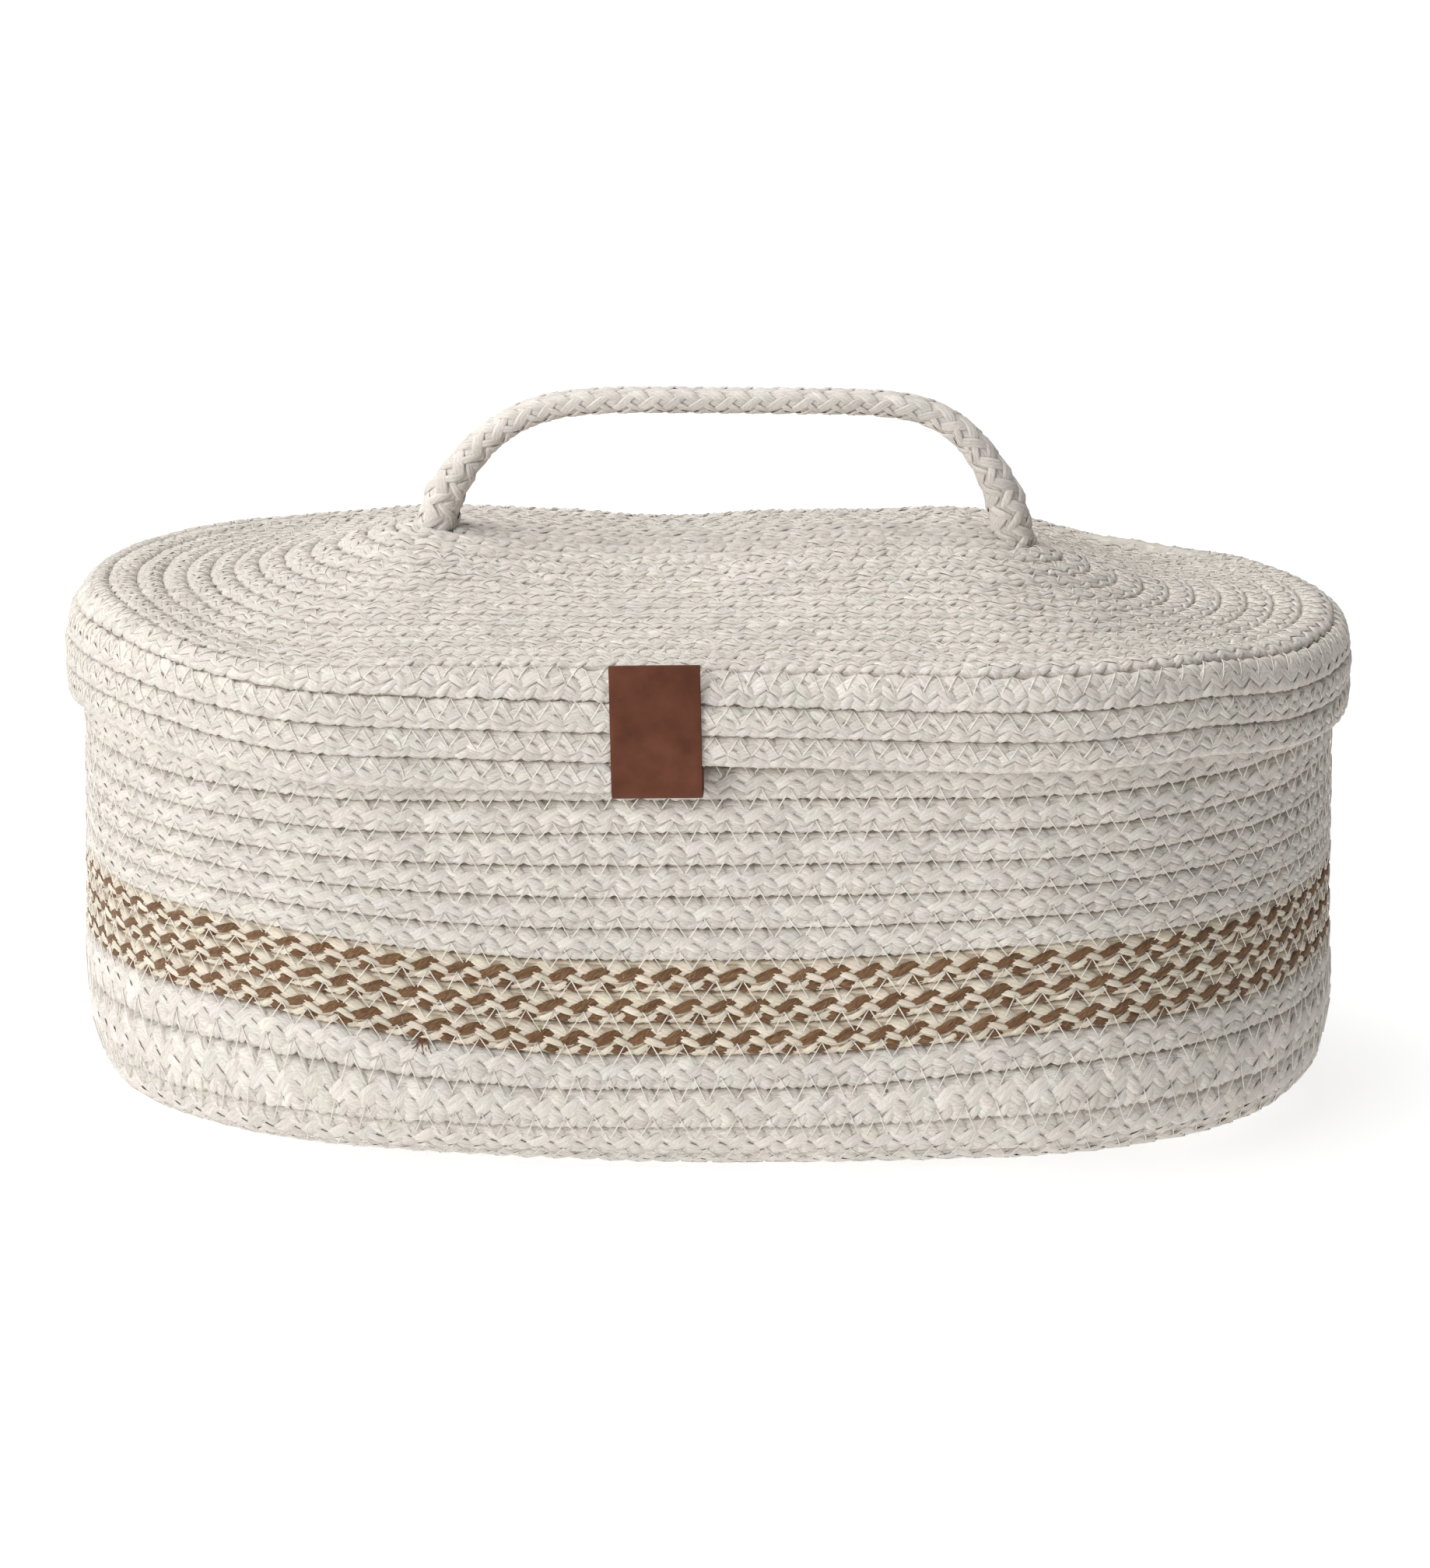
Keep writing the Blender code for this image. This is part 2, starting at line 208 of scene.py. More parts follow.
def push_out(points, amount):
    """Move points away from the core line."""
    x, y = points[..., 0], points[..., 1]
    dx = x - np.clip(x, -CORE, CORE)
    size = np.hypot(dx, y) + TINY
    return points + np.stack([dx / size * amount, y / size * amount, 0 * x], -1)


# The basket's slump. A ramp is its height, start and end, and a hill its height, centre and reach,
# along x, y or z. A span is the start and end of a change.
FOOT_SWELL = (7.5 * MM, 0.085, 0.150)
FOOT_FADE = 0.013
FOOT_OUT_SHARE = 0.8
WALL_BELLY = (0.8 * MM, 0.060, 0.035)
WALL_OUT_SHARES = (0.8, 1.0)
RIM_TUCK = (1.5 * MM, 0.09, 0.15)
RIM_TUCK_SPAN = (0.098, 0.110)
STRIPE_LIFT = 2.8 * MM
LEFT_LIFT = (10.0 * MM, 0.020, 0.120)
RIGHT_LIFT = (5.2 * MM, 0.020, 0.100)
LIFT_RISE_SPAN = (0.006, 0.028)
LIFT_FALL_SPAN = (0.028, 0.102)
EDGE_CURL = 0.7 * MM
END_CURL = (2.5 * MM, 0.010, 0.085)
CURL_FADE = 0.012
CURL_OUT_SHARES = (0.45, 0.8)


def body_soften(points):
    """The cotton's slump: a raised stripe and fuller foot at the ends, a wall that bellies."""
    x, z = points[..., 0], points[..., 2]
    away = np.abs(x)
    out = np.hypot(x - np.clip(x, -CORE, CORE), points[..., 1]) / END_RADIUS
    foot = ramp(away, *FOOT_SWELL) * np.exp(-z / FOOT_FADE) * np.clip(out / FOOT_OUT_SHARE, 0, 1) ** 3
    belly = hill(z, *WALL_BELLY) * ease(out, *WALL_OUT_SHARES)
    tuck = ramp(away, *RIM_TUCK) * ease(z, *RIM_TUCK_SPAN)
    points = push_out(points, foot - tuck + belly)
    wall = ease(z, *LIFT_RISE_SPAN) * (1 - ease(z, *LIFT_FALL_SPAN))
    ends = np.where(x < 0, ramp(away, *LEFT_LIFT), ramp(away, *RIGHT_LIFT))
    curl = (EDGE_CURL + ramp(away, *END_CURL)) * np.exp(-z / CURL_FADE) * ease(out, *CURL_OUT_SHARES)
    lift = wall * (STRIPE_LIFT + ends) + curl
    return points + np.stack([0 * x, 0 * x, lift], -1)


# The lid's slump, in the same terms
LID_BACK_SPAN = (-0.088, 0.0)
RIGHT_SAG = 4.6 * MM
RIGHT_SAG_BACK_SPAN = (0.055, 0.125)
RIGHT_SAG_FRONT_SPAN = (0.118, 0.156)
RIGHT_DIP = (3.6 * MM, 0.104, 0.018)
LEFT_RAISE = (3.4 * MM, 0.085, 0.155)
LEFT_RAISE_BACK_SHARE = 0.4
LEFT_DIP = (2.6 * MM, -0.108, 0.026)
TOP_SPAN = (LID_EDGE - 0.004, LID_EDGE + 0.004)
END_TUCK = (2.9 * MM, 0.09, 0.15)
LEFT_TUCK = (2.4 * MM, 0.11, 0.15)
LEFT_TUCK_SPAN = (LID_EDGE - 0.014, LID_EDGE + 0.002)
REAR_SAG = 1.7 * MM
REAR_SAG_CENTRE = -0.005
REAR_SAG_SPAN = (0.040, 0.080)
REAR_DIP = (2.2 * MM, -0.014, 0.017)
REAR_SPAN = (0.010, 0.070)
FOOT_HUMP = (2.4 * MM, -0.074, 0.010)
FOOT_HUMP_ACROSS = (1.0, 0.0, 0.014)
RIDGE_SAG = 1.8 * MM
RIDGE_DIP = (3.6 * MM, -0.020, 0.032)
RIDGE_SPAN = (LID_EDGE + 0.002, LID_EDGE + LID_RISE)


def lid_soften(points):
    """The lid's slump: a sagging ridge, a low right end and a raised left edge."""
    x, y, z = points[..., 0], points[..., 1], points[..., 2]
    back = ease(y, *LID_BACK_SPAN)
    right = ease(x, *RIGHT_SAG_BACK_SPAN) * back + ease(x, *RIGHT_SAG_FRONT_SPAN) * (1 - back)
    left = ramp(-x, *LEFT_RAISE) * (1 - LEFT_RAISE_BACK_SHARE * back)
    tuck = ramp(np.abs(x), *END_TUCK) + ramp(-x, *LEFT_TUCK) * ease(z, *LEFT_TUCK_SPAN)
    points = push_out(points, -tuck)
    rear = REAR_SAG * (1 - ease(np.abs(x - REAR_SAG_CENTRE), *REAR_SAG_SPAN)) + hill(x, *REAR_DIP)
    drop = RIGHT_SAG * right + back * hill(x, *RIGHT_DIP) - left
    drop = drop + rear * ease(y, *REAR_SPAN)
    drop = drop + hill(x, *LEFT_DIP) * ease(z, *TOP_SPAN)
    drop = drop - hill(points[..., 0], *FOOT_HUMP) * hill(points[..., 1], *FOOT_HUMP_ACROSS)
    drop = drop + ease(z, *RIDGE_SPAN) * (RIDGE_SAG + hill(x, *RIDGE_DIP))
    return points - np.stack([0 * x, 0 * x, drop], -1)


# A slow, smooth wander along every coil: its size, and each wave's start and length
SIDE_DRIFT = (0.15 * MM, (0.3, 2.1, 4.4), (0.083, 0.031, 0.0193))
DEPTH_DRIFT = (0.25 * MM, (1.3, 3.1, 5.4), (0.112, 0.047, 0.0231))


def drift(along, size, phases, lengths):
    total = 0
    for phase, length in zip(phases, lengths):
        total = total + np.sin(along * 2 * PI / length + phase)
    return size * total / len(lengths)


SAMPLES_PER_TURN = 500


class Coil:
    """A rope wound around the core line, with a rounded square section."""

    def __init__(self, profile, pitch, width, thick, square, first, last, soften, flip):
        self.profile, self.pitch, self.width, self.thick = profile, pitch, width, thick
        self.square, self.per_radian = square, width / PI
        self.soften, self.flip = soften, flip
        self.turns = np.linspace(first, last, int((last - first) * SAMPLES_PER_TURN) + 1)
        self.lengths = distances(self.raw(self.turns, 0.0, 0.0))
        self.reach = self.lengths[-1]

    def raw(self, turn, side, depth):
        out, height, normal_out, normal_up = self.profile(self.pitch * (turn + START_SHARE) + side)
        x, y = plan(turn, out + depth * normal_out)
        return np.stack([x, y, height + depth * normal_up], -1)

    def length_at(self, turn):
        return np.interp(turn, self.turns, self.lengths)

    def turn_at(self, along):
        return np.interp(along, self.lengths, self.turns)

    def girth(self, along):
        return 1 + 0 * along

    def at(self, along, angle, rise):
        return self.at_turn(self.turn_at(along), angle, rise, along)

    def at_turn(self, turn, angle, rise, along=None):
        """The point at an angle from the rope's outer side, that rises this far from its surface."""
        along = self.length_at(turn) if along is None else along
        angle = np.mod(angle + PI, 2 * PI) - PI
        behind = np.abs(angle) > PI / 2
        across = np.where(behind, 2 * np.sign(angle) - angle / (PI / 2), angle / (PI / 2))
        face = np.maximum(1 - np.abs(across) ** self.square, 0) ** (1 / self.square)
        side = (self.width / 2 + rise) * across + drift(along, *SIDE_DRIFT)
        depth = (self.thick / 2 + rise) * np.where(behind, -face, face) + drift(along, *DEPTH_DRIFT)
        return self.soften(self.raw(turn, side, depth))


class Line:
    """A free round rope along a smooth line of points, with a given outer side."""

    flip = False

    def __init__(self, points, outer, radius):
        points = np.array(points, float)
        self.lengths = distances(points)
        self.reach = self.lengths[-1]
        tangent = unit(np.gradient(points, axis=0))
        outer = np.array(outer, float)
        outer = unit(outer - (outer * tangent).sum(1)[:, None] * tangent)
        self.points, self.outer, self.side = points, outer, np.cross(outer, tangent)
        self.radii = radius + np.zeros(len(points))
        self.per_radian = self.radii.mean()

    def girth(self, along):
        return np.interp(along, self.lengths, self.radii) / self.per_radian

    def pick(self, table, along):
        return np.stack([np.interp(along, self.lengths, table[:, i]) for i in range(3)], -1)

    def at(self, along, angle, rise):
        along = along + 0 * angle
        radius = np.interp(along, self.lengths, self.radii) + rise
        side, depth = radius * np.sin(angle), radius * np.cos(angle)
        point = self.pick(self.points, along) + side[..., None] * self.pick(self.side, along)
        return point + depth[..., None] * self.pick(self.outer, along)


def add_object(name, data):
    obj = bpy.data.objects.new(name, data)
    bpy.context.scene.collection.objects.link(obj)
    return obj


# Each strand's cell on the bake map: its length to its width, and the shares it fills
CELL_SHAPE = 3
CELL_LENGTH_SHARES = (0.06, 0.94)
CELL_WIDTH_SHARES = (0.1, 0.9)


class Strands:
    """Many small grids of points, gathered into one mesh with one map cell for each grid."""

    def __init__(self):
        self.groups = []

    def add(self, points, tints, strands, flip=False):
        if flip:
            points, strands = points[:, :, ::-1], strands[:, :, ::-1]
        self.groups.append((points, tints, strands))

    def gather(self):
        """All grids' points, quads, tints, strand coordinates and map places."""
        cells = sum(len(points) for points, _, _ in self.groups)
        columns = max(1, int(math.sqrt(cells / CELL_SHAPE)))
        rows = math.ceil(cells / columns)
        verts, faces, colours, coords, maps = [], [], [], [], []
        first_vert = first_cell = 0
        for points, tints, strands in self.groups:
            count, length, around = points.shape[:3]
            base = np.arange(length - 1)[:, None] * around + np.arange(around - 1)[None, :]
            quad = np.stack([base, base + around, base + around + 1, base + 1], -1).reshape(-1, 4)
            quads = quad[None] + (np.arange(count) * length * around)[:, None, None]
            faces.append(quads.reshape(-1, 4) + first_vert)
            verts.append(points.reshape(-1, 3))
            tints = np.broadcast_to(tints[:, None, None, :], (count, length, around, 3))
            colours.append(tints.reshape(-1, 3))
            coords.append(strands.reshape(-1, 3))
            cell = first_cell + np.arange(count)
            u = np.linspace(*CELL_LENGTH_SHARES, length)[None, :, None]
            v = np.linspace(*CELL_WIDTH_SHARES, around)[None, None, :]
            u = ((cell % columns)[:, None, None] + u + 0 * v) / columns
            v = ((cell // columns)[:, None, None] + v + 0 * u) / rows
            maps.append(np.stack([u, v], -1).reshape(-1, 2))
            first_vert += count * length * around
            first_cell += count
        return [np.concatenate(table) for table in (verts, faces, colours, coords, maps)]

    def build(self, name, mat, body, replaces=()):
        verts, faces, colours, coords, maps = self.gather()
        mesh = bpy.data.meshes.new(name)
        mesh.vertices.add(len(verts))
        mesh.vertices.foreach_set("co", verts.astype(np.float32).ravel())
        mesh.loops.add(faces.size)
        mesh.loops.foreach_set("vertex_index", faces.astype(np.int32).ravel())
        mesh.polygons.add(len(faces))
        mesh.polygons.foreach_set("loop_start", np.arange(0, faces.size, 4, dtype=np.int32))
        mesh.update(calc_edges=True)
        mesh.shade_smooth()
        layer = mesh.uv_layers.new(name="OFBake")
        layer.data.foreach_set("uv", maps[faces.ravel()].astype(np.float32).ravel())
        rgba = np.concatenate([colours, np.ones((len(colours), 1))], 1).astype(np.float32)
        mesh.color_attributes.new("tint", "FLOAT_COLOR", "POINT").data.foreach_set("color", rgba.ravel())
        strand = mesh.attributes.new("strand", "FLOAT_VECTOR", "POINT")
        strand.data.foreach_set("vector", coords.astype(np.float32).ravel())
        mesh.materials.append(mat)
        piece = add_object(name, mesh)
        if body:
            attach(piece, body)
        if replaces:
            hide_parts(*replaces)
        return piece


# How one rope is braided: the repeat's length, its two colours, the size of its yarns against the
# table's, how much wider than that they lie, and the body and material slot of its pieces
Weave = namedtuple("Weave", "rope repeat tones size fat body slot")

# One repeat of the braid, from the rope's upper edge to its lower edge. Each row of floats has
# four points of (place in repeats, degrees from the outer side, lift in mm), its yarns, its
# width in mm and whether it takes the rope's first or second colour.
BRAID = (
    (((0.46, 92, -0.5), (0.84, 80, -0.10), (1.18, 56, 0.25), (1.52, 20, -0.6)), 3, 3.1, 0),
    (((0.26, -92, -0.4), (0.76, -89, -0.08), (1.18, -82, 0.05), (1.50, -66, -0.6)), 3, 2.6, 0),
    (((0.02, -28, -0.6), (0.33, -4, 0.18), (0.64, 24, 0.30), (0.98, 50, -0.2)), 3, 2.6, 1),
    (((0.48, -28, -0.6), (0.72, -47, 0.14), (0.95, -65, 0.14), (1.18, -82, -0.4)), 3, 2.5, 1),
    (((0.48, 26, -0.5), (0.75, 7, 0.30), (1.04, -16, 0.34), (1.32, -38, -0.4)), 2, 1.7, 0),
    (((0.14, -88, -0.4), (0.37, -68, 0.22), (0.60, -42, 0.34), (0.86, -14, -0.4)), 2, 1.7, 0),
)
BRAID_START = 0.6
STATIONS = 6
THIRDS = np.array([0, 1 / 3, 2 / 3, 1])

# A float's taper, and its yarns' relief in mm: on each yarn, between two and at the float's edges
FLOAT_TAPER_SHARE = 0.4
YARN_CREST = 0.16
YARN_VALLEY = 0.02
FLOAT_EDGE = -0.28

# How uneven the hand leaves the floats: places in repeats, turns in degrees, lifts in mm, and
# widths, tones and hues as shares
START_SPREAD = 0.02
PLACE_SPREAD = 0.018
TURN_SPREAD = 1.8
LIFT_SPREAD = 0.05
WIDTH_SPREAD = 0.06
TONE_SPREAD = 0.045
HUE_SPREAD = 0.008
CORE_TONE_SPREAD = 0.02
THREAD_TONE_SPREAD = 0.03
STRAND_SEEDS = 400


def cubic_basis(steps):
    """Weights of four points at thirds, for a cubic through them."""
    t = np.linspace(0, 1, steps)
    weights = []
    for i in range(4):
        others = [THIRDS[j] for j in range(4) if j != i]
        weights.append(np.prod([(t - other) / (THIRDS[i] - other) for other in others], axis=0))
    return np.array(weights)


def braid(strands, weave, start, stop, turned=0.0, detail=2, full=1.0):
    """Lay the braid's floats on a stretch of rope, turned from its outer side, with 1 or 2 faces
    across each yarn. full is how far the floats stand up."""
    rope, repeat, size = weave.rope, weave.repeat, weave.size
    stations = STATIONS if detail == 2 else STATIONS - 1
    basis = cubic_basis(stations)
    fade = 1 - FLOAT_TAPER_SHARE * np.abs(np.linspace(-1, 1, stations)) ** 3
    count = int((stop - start) / repeat)
    starts = start + (np.arange(count) + 0.5) * (stop - start) / count - repeat * BRAID_START
    starts = starts + rng.normal(0, START_SPREAD * repeat, count)
    for controls, yarns, width, which in BRAID:
        marks, degrees, lifts = np.array(controls, float).T
        degrees = -degrees if rope.flip else degrees
        marks = marks + rng.normal(0, PLACE_SPREAD, (count, 4))
        degrees = degrees + rng.normal(0, TURN_SPREAD, (count, 4)) + rng.normal(0, TURN_SPREAD, (count, 1))
        lifts = full * rope.girth(starts)[:, None] * (lifts + rng.normal(0, LIFT_SPREAD, (count, 4)))
        slide = (marks * repeat) @ basis
        angle = np.radians(degrees @ basis + turned)
        lift = (lifts * size * MM) @ basis
        run = np.gradient(slide, axis=1)
        climb = np.gradient(angle, axis=1) * rope.per_radian
        reach = np.hypot(run, climb)
        lane = np.linspace(-0.5, 0.5, detail * yarns + 1)
        on_yarn = np.arange(detail * yarns + 1) % detail == detail - 1
        relief = np.where(on_yarn, YARN_CREST, YARN_VALLEY)
        relief[[0, -1]] = FLOAT_EDGE
        broad = width * weave.fat * size * MM * (1 + rng.normal(0, WIDTH_SPREAD, (count, 1, 1)))
        offset = broad * lane * fade[None, :, None]
        along = starts[:, None, None] + slide[:, :, None] - (climb / reach)[:, :, None] * offset
        around = angle[:, :, None] + (run / reach)[:, :, None] * offset / rope.per_radian
        rise = lift[:, :, None] + relief * size * MM * fade[None, :, None]
        points = rope.at(np.clip(along, 0, rope.reach), around, rise)
        tone = np.array(weave.tones[which]) * (1 + rng.normal(0, TONE_SPREAD, (count, 1)))
        tone = tone * (1 + rng.normal(0, HUE_SPREAD, (count, 3)))
        strand = np.empty(points.shape)
        strand[..., 0] = np.cumsum(reach, axis=1)[:, :, None] / MM
        strand[..., 1] = (lane + 0.5) * yarns
        strand[..., 2] = rng.uniform(0, STRAND_SEEDS, count)[:, None, None]
        strands.add(points, tone, strand, rope.flip)


CORE_STEP = 0.004
CORE_STEPS = 8
CORE_SIDES = 12
CORE_YARNS = 24
CORE_SEED = 7.0


def core(strands, rope, start, stop, tone, inset, step=CORE_STEP):
    """The rope's body under the floats, as short lengths of tube."""
    pieces = max(1, int((stop - start) / (step * CORE_STEPS)))
    ends = np.linspace(start, stop, pieces + 1)
    shares = np.linspace(0, 1, CORE_STEPS + 1)
    along = ends[:-1, None] + (ends[1:] - ends[:-1])[:, None] * shares[None, :]
    angle = np.linspace(0, 2 * PI, CORE_SIDES + 1)[None, None, :]
    along = along[:, :, None] + 0 * angle
    points = rope.at(along, angle + 0 * along, -inset + 0 * along)
    strand = np.empty(points.shape)
    strand[..., 0] = along / MM
    strand[..., 1] = angle / (2 * PI) * CORE_YARNS
    strand[..., 2] = CORE_SEED
    tones = np.broadcast_to(np.array(tone), (pieces, 3))
    tones = tones * (1 + rng.normal(0, CORE_TONE_SPREAD, (pieces, 1)))
    strands.add(points, tones, strand, rope.flip)


def tubes(strands, lines, normals, radius, tone, sides=4):
    """Thin round threads along many short lines of points."""
    tangent = unit(np.gradient(lines, axis=1), TINY)
    across = unit(np.cross(tangent, normals) + TINY)
    up = np.cross(across, tangent)
    turn = np.linspace(0, 2 * PI, sides + 1)
    ring = np.cos(turn)[:, None] * across[:, :, None] + np.sin(turn)[:, None] * up[:, :, None]
    points = lines[:, :, None] + radius * ring
    count = len(lines)
    strand = np.empty(points.shape)
    strand[..., 0] = np.arange(lines.shape[1])[None, :, None] * 2
    strand[..., 1] = np.linspace(0, 2, sides + 1)
    strand[..., 2] = rng.uniform(0, STRAND_SEEDS, count)[:, None, None]
    tones = np.array(tone) * (1 + rng.normal(0, THREAD_TONE_SPREAD, (count, 1)))
    strands.add(points, tones, strand, True)


class Nodes:
    """Short calls for building a node tree."""

    def __init__(self, tree):
        self.tree = tree

    def fill(self, node, inputs):
        """Give each input a value, or a link from another node's output."""
        for slot, value in dict(inputs).items():
            if isinstance(value, bpy.types.NodeSocket):
                self.tree.links.new(value, node.inputs[slot])
            else:
                node.inputs[slot].default_value = value

    def make(self, kind, inputs=(), **settings):
        node = self.tree.nodes.new(kind)
        for key, value in settings.items():
            setattr(node, key, value)
        self.fill(node, inputs)
        return node

    def place(self, output="Object"):
        return self.make("ShaderNodeTexCoord").outputs[output]

    def attribute(self, name, output):
        return self.make("ShaderNodeAttribute", attribute_name=name).outputs[output]

    def noise(self, vector, scale, detail=2.0, roughness=0.5):
        inputs = {"Vector": vector, "Scale": scale, "Detail": detail, "Roughness": roughness}
        return self.make("ShaderNodeTexNoise", inputs).outputs["Fac"]

    def math(self, operation, a, b=0.0):
        return self.make("ShaderNodeMath", {0: a, 1: b}, operation=operation).outputs[0]

    def product(self, first, *others):
        for other in others:
            first = self.math("MULTIPLY", first, other)
        return first

    def mix(self, kind, share, a, b):
        inputs = {0: share, 6: a, 7: b}
        return self.make("ShaderNodeMix", inputs, data_type="RGBA", blend_type=kind).outputs[2]

    def spread(self, value, low, high, to_low, to_high):
        inputs = {0: value, 1: low, 2: high, 3: to_low, 4: to_high}
        return self.make("ShaderNodeMapRange", inputs).outputs[0]

    def bump(self, height, strength, distance):
        inputs = {"Strength": strength, "Distance": distance, "Height": height}
        return self.make("ShaderNodeBump", inputs).outputs[0]


def new_material(name):
    mat = bpy.data.materials.new(name)
    mat.use_nodes = True
    return mat, Nodes(mat.node_tree), mat.node_tree.nodes["Principled BSDF"]


# Cotton's scales: the fibres' twist around and along a yarn, the uneven tone, fluff and seed specks
FIBRE_TWIST = 5.0
FIBRE_SLANT = -2.2
FIBRE_STRETCH = 0.55
UNEVEN_SCALE = 70.0
FLUFF_SCALE = 2600.0
SPECK_SCALE = 260.0
SPECK_REACH = 0.12
SPECK_STRENGTH = 0.75
SPECK_COLOUR = (0.12, 0.085, 0.06, 1)
FIBRE_DEPTH = 0.25 * MM

# What cotton's textures do to a yarn: their low and high value, and what these turn into
FIBRE_TONE = (0.3, 0.7, 0.92, 1.04)
YARN_TONE = (0, 1, 0.95, 1.04)
FLUFF_TONE = (0.3, 0.7, 0.94, 1.05)
UNEVEN_TONE = (0.3, 0.7, 0.95, 1.04)
# Painted shade: the yarn's colour is darker along the valley between two yarns
VALLEY_PAINTED_SHADE = (0, 1, 1.0, 0.91)
FIBRE_STREAK = (0.36, 0.64, 1.26, 0.78)
YARN_STREAK = (0, 1, 1.08, 0.94)


def cotton(name, fibre_bump, roughness, sheen, speck_level):
    """Soft yarn: fine twisted fibres, painted shade along the line between yarns, uneven tone, a few seed
    specks.
    The higher speck_level is, the fewer specks there are, and 0 leaves them out."""
    mat, n, shader = new_material(name)
    tint = n.attribute("tint", "Color")
    parts = n.make("ShaderNodeSeparateXYZ", {0: n.attribute("strand", "Vector")}).outputs
    twist = n.math("ADD", n.product(parts[1], FIBRE_TWIST), n.product(parts[0], FIBRE_SLANT))
    stretched = n.product(parts[0], FIBRE_STRETCH)
    fibres = n.make("ShaderNodeCombineXYZ", {0: stretched, 1: twist, 2: parts[2]}).outputs[0]
    fine = n.noise(fibres, 1.0, 3.0, 0.65)
    lane = n.math("FRACT", parts[1])
    edge = n.math("ABSOLUTE", n.math("SUBTRACT", lane, 0.5))
    valley = n.math("POWER", n.product(edge, 2.0), 4.0)
    whole = n.math("FLOOR", n.product(parts[1], 0.999))
    yarn = n.make("ShaderNodeCombineXYZ", {0: whole, 1: parts[2], 2: 0.0}).outputs[0]
    yarn_noise = n.make("ShaderNodeTexWhiteNoise", {"Vector": yarn}, noise_dimensions="3D")
    yarn_tone = yarn_noise.outputs["Value"]
    place = n.place()
    uneven = n.noise(place, UNEVEN_SCALE, 3.0)
    fluff = n.noise(place, FLUFF_SCALE)
    tone = n.product(
        n.spread(fine, *FIBRE_TONE),
        n.spread(yarn_tone, *YARN_TONE),
        n.spread(fluff, *FLUFF_TONE),
        n.spread(uneven, *UNEVEN_TONE),
        # painted shade in the valleys between yarns
        n.spread(valley, *VALLEY_PAINTED_SHADE),
    )
    tone_colour = n.make("ShaderNodeCombineColor", {0: tone, 1: tone, 2: tone}).outputs[0]
    power = n.product(n.spread(fine, *FIBRE_STREAK), n.spread(yarn_tone, *YARN_STREAK))
    streaked = n.make("ShaderNodeGamma", {0: tint, 1: power}).outputs[0]
    colour = n.mix("MULTIPLY", 1.0, streaked, tone_colour)
    if speck_level:
        cells = n.make("ShaderNodeTexVoronoi", {"Vector": place, "Scale": SPECK_SCALE})
        chance = n.make("ShaderNodeSeparateColor", {0: cells.outputs["Color"]}).outputs[0]
        rare = n.math("GREATER_THAN", chance, speck_level)
        near = n.math("LESS_THAN", cells.outputs["Distance"], SPECK_REACH)
        colour = n.mix("MIX", n.product(rare, near, SPECK_STRENGTH), colour, SPECK_COLOUR)
    height = n.math("SUBTRACT", n.product(fine, 0.7), n.product(valley, 0.45))
    height = n.math("ADD", height, n.product(fluff, 0.5))
    n.fill(shader, {
        "Base Color": colour,
        "Normal": n.bump(height, fibre_bump, FIBRE_DEPTH),
        "Roughness": roughness,
        "Specular IOR Level": 0.25,
        "Sheen Weight": sheen,
        "Sheen Roughness": 0.5,
    })
    return mat


rope_cotton = cotton("rope_cotton", fibre_bump=0.6, roughness=0.95, sheen=0.16, speck_level=0.992)
thread_cotton = cotton("sewing_thread", fibre_bump=0.3, roughness=0.55, sheen=0.1, speck_level=0)

CREAM = (0.71, 0.66, 0.60)
LID_CREAM = (0.69, 0.64, 0.58)
UNDER = (0.69, 0.64, 0.57)
FLECK_CREAM = (0.74, 0.655, 0.53)
FLECK_BROWN = (0.175, 0.093, 0.044)
FLECK_UNDER = (0.50, 0.40, 0.29)
HANDLE_CREAM = (0.71, 0.66, 0.605)
THREAD = (0.83, 0.79, 0.72)
FRAYED_BROWN = (0.27, 0.14, 0.075)

# Each coil's rope under its floats, and the wider one that fills the grooves: width, thickness and
# how square the section is
BODY_ROPE = (0.0082, 0.0072, 4.2)
BODY_FILLING = (0.0089, 0.0065, 9.0)
LID_ROPE = (0.0072, 0.0050, 4.4)
LID_FILLING = (0.0080, 0.0045, 9.0)

body_coil, body_filling = (
    Coil(body_profile, BODY_PITCH, *section, 0.0, RIM_TURN, body_soften, False)
    for section in (BODY_ROPE, BODY_FILLING)
)
lid_coil, lid_filling = (
    Coil(lid_profile, LID_PITCH, *section, LID_FIRST, LID_LAST, lid_soften, True)
    for section in (LID_ROPE, LID_FILLING)
)

BODY_REPEAT = 0.0068
BAND_REPEAT = 0.008
LID_REPEAT = 0.0066
HANDLE_REPEAT = 0.0062
KNOT_REPEAT = 0.0056
CORD_INSET = 0.0002
BAND_CORD_INSET = 0.0003
ROUND_CORE_STEP = 0.002

body_weave = Weave(body_coil, BODY_REPEAT, (CREAM, CREAM), 1.0, 1.16, "basket", "cream_rope")
band_weave = Weave(body_coil, BAND_REPEAT, (FLECK_CREAM, FLECK_BROWN), 1.0, 1.0, "basket", "fleck_rope")
lid_weave = Weave(lid_coil, LID_REPEAT, (LID_CREAM, LID_CREAM), 0.86, 1.16, "lid", "lid_cotton")


def lay_rope(weave, names, marks, node=None):
    """One rope's braid as several pieces, split at the given turns: its outer side, which stands
    for its node of the solids, or with no node its inner side, in coarser yarns."""
    for name, first, last in zip(names, marks, marks[1:]):
        strands = Strands()
        start, stop = weave.rope.length_at(first), weave.rope.length_at(last)
        if node:
            braid(strands, weave, start, stop)
        else:
            braid(strands, weave, start, stop, turned=180.0, detail=1)
        strands.build(name, rope_cotton, weave.body, (node,) if node else ())


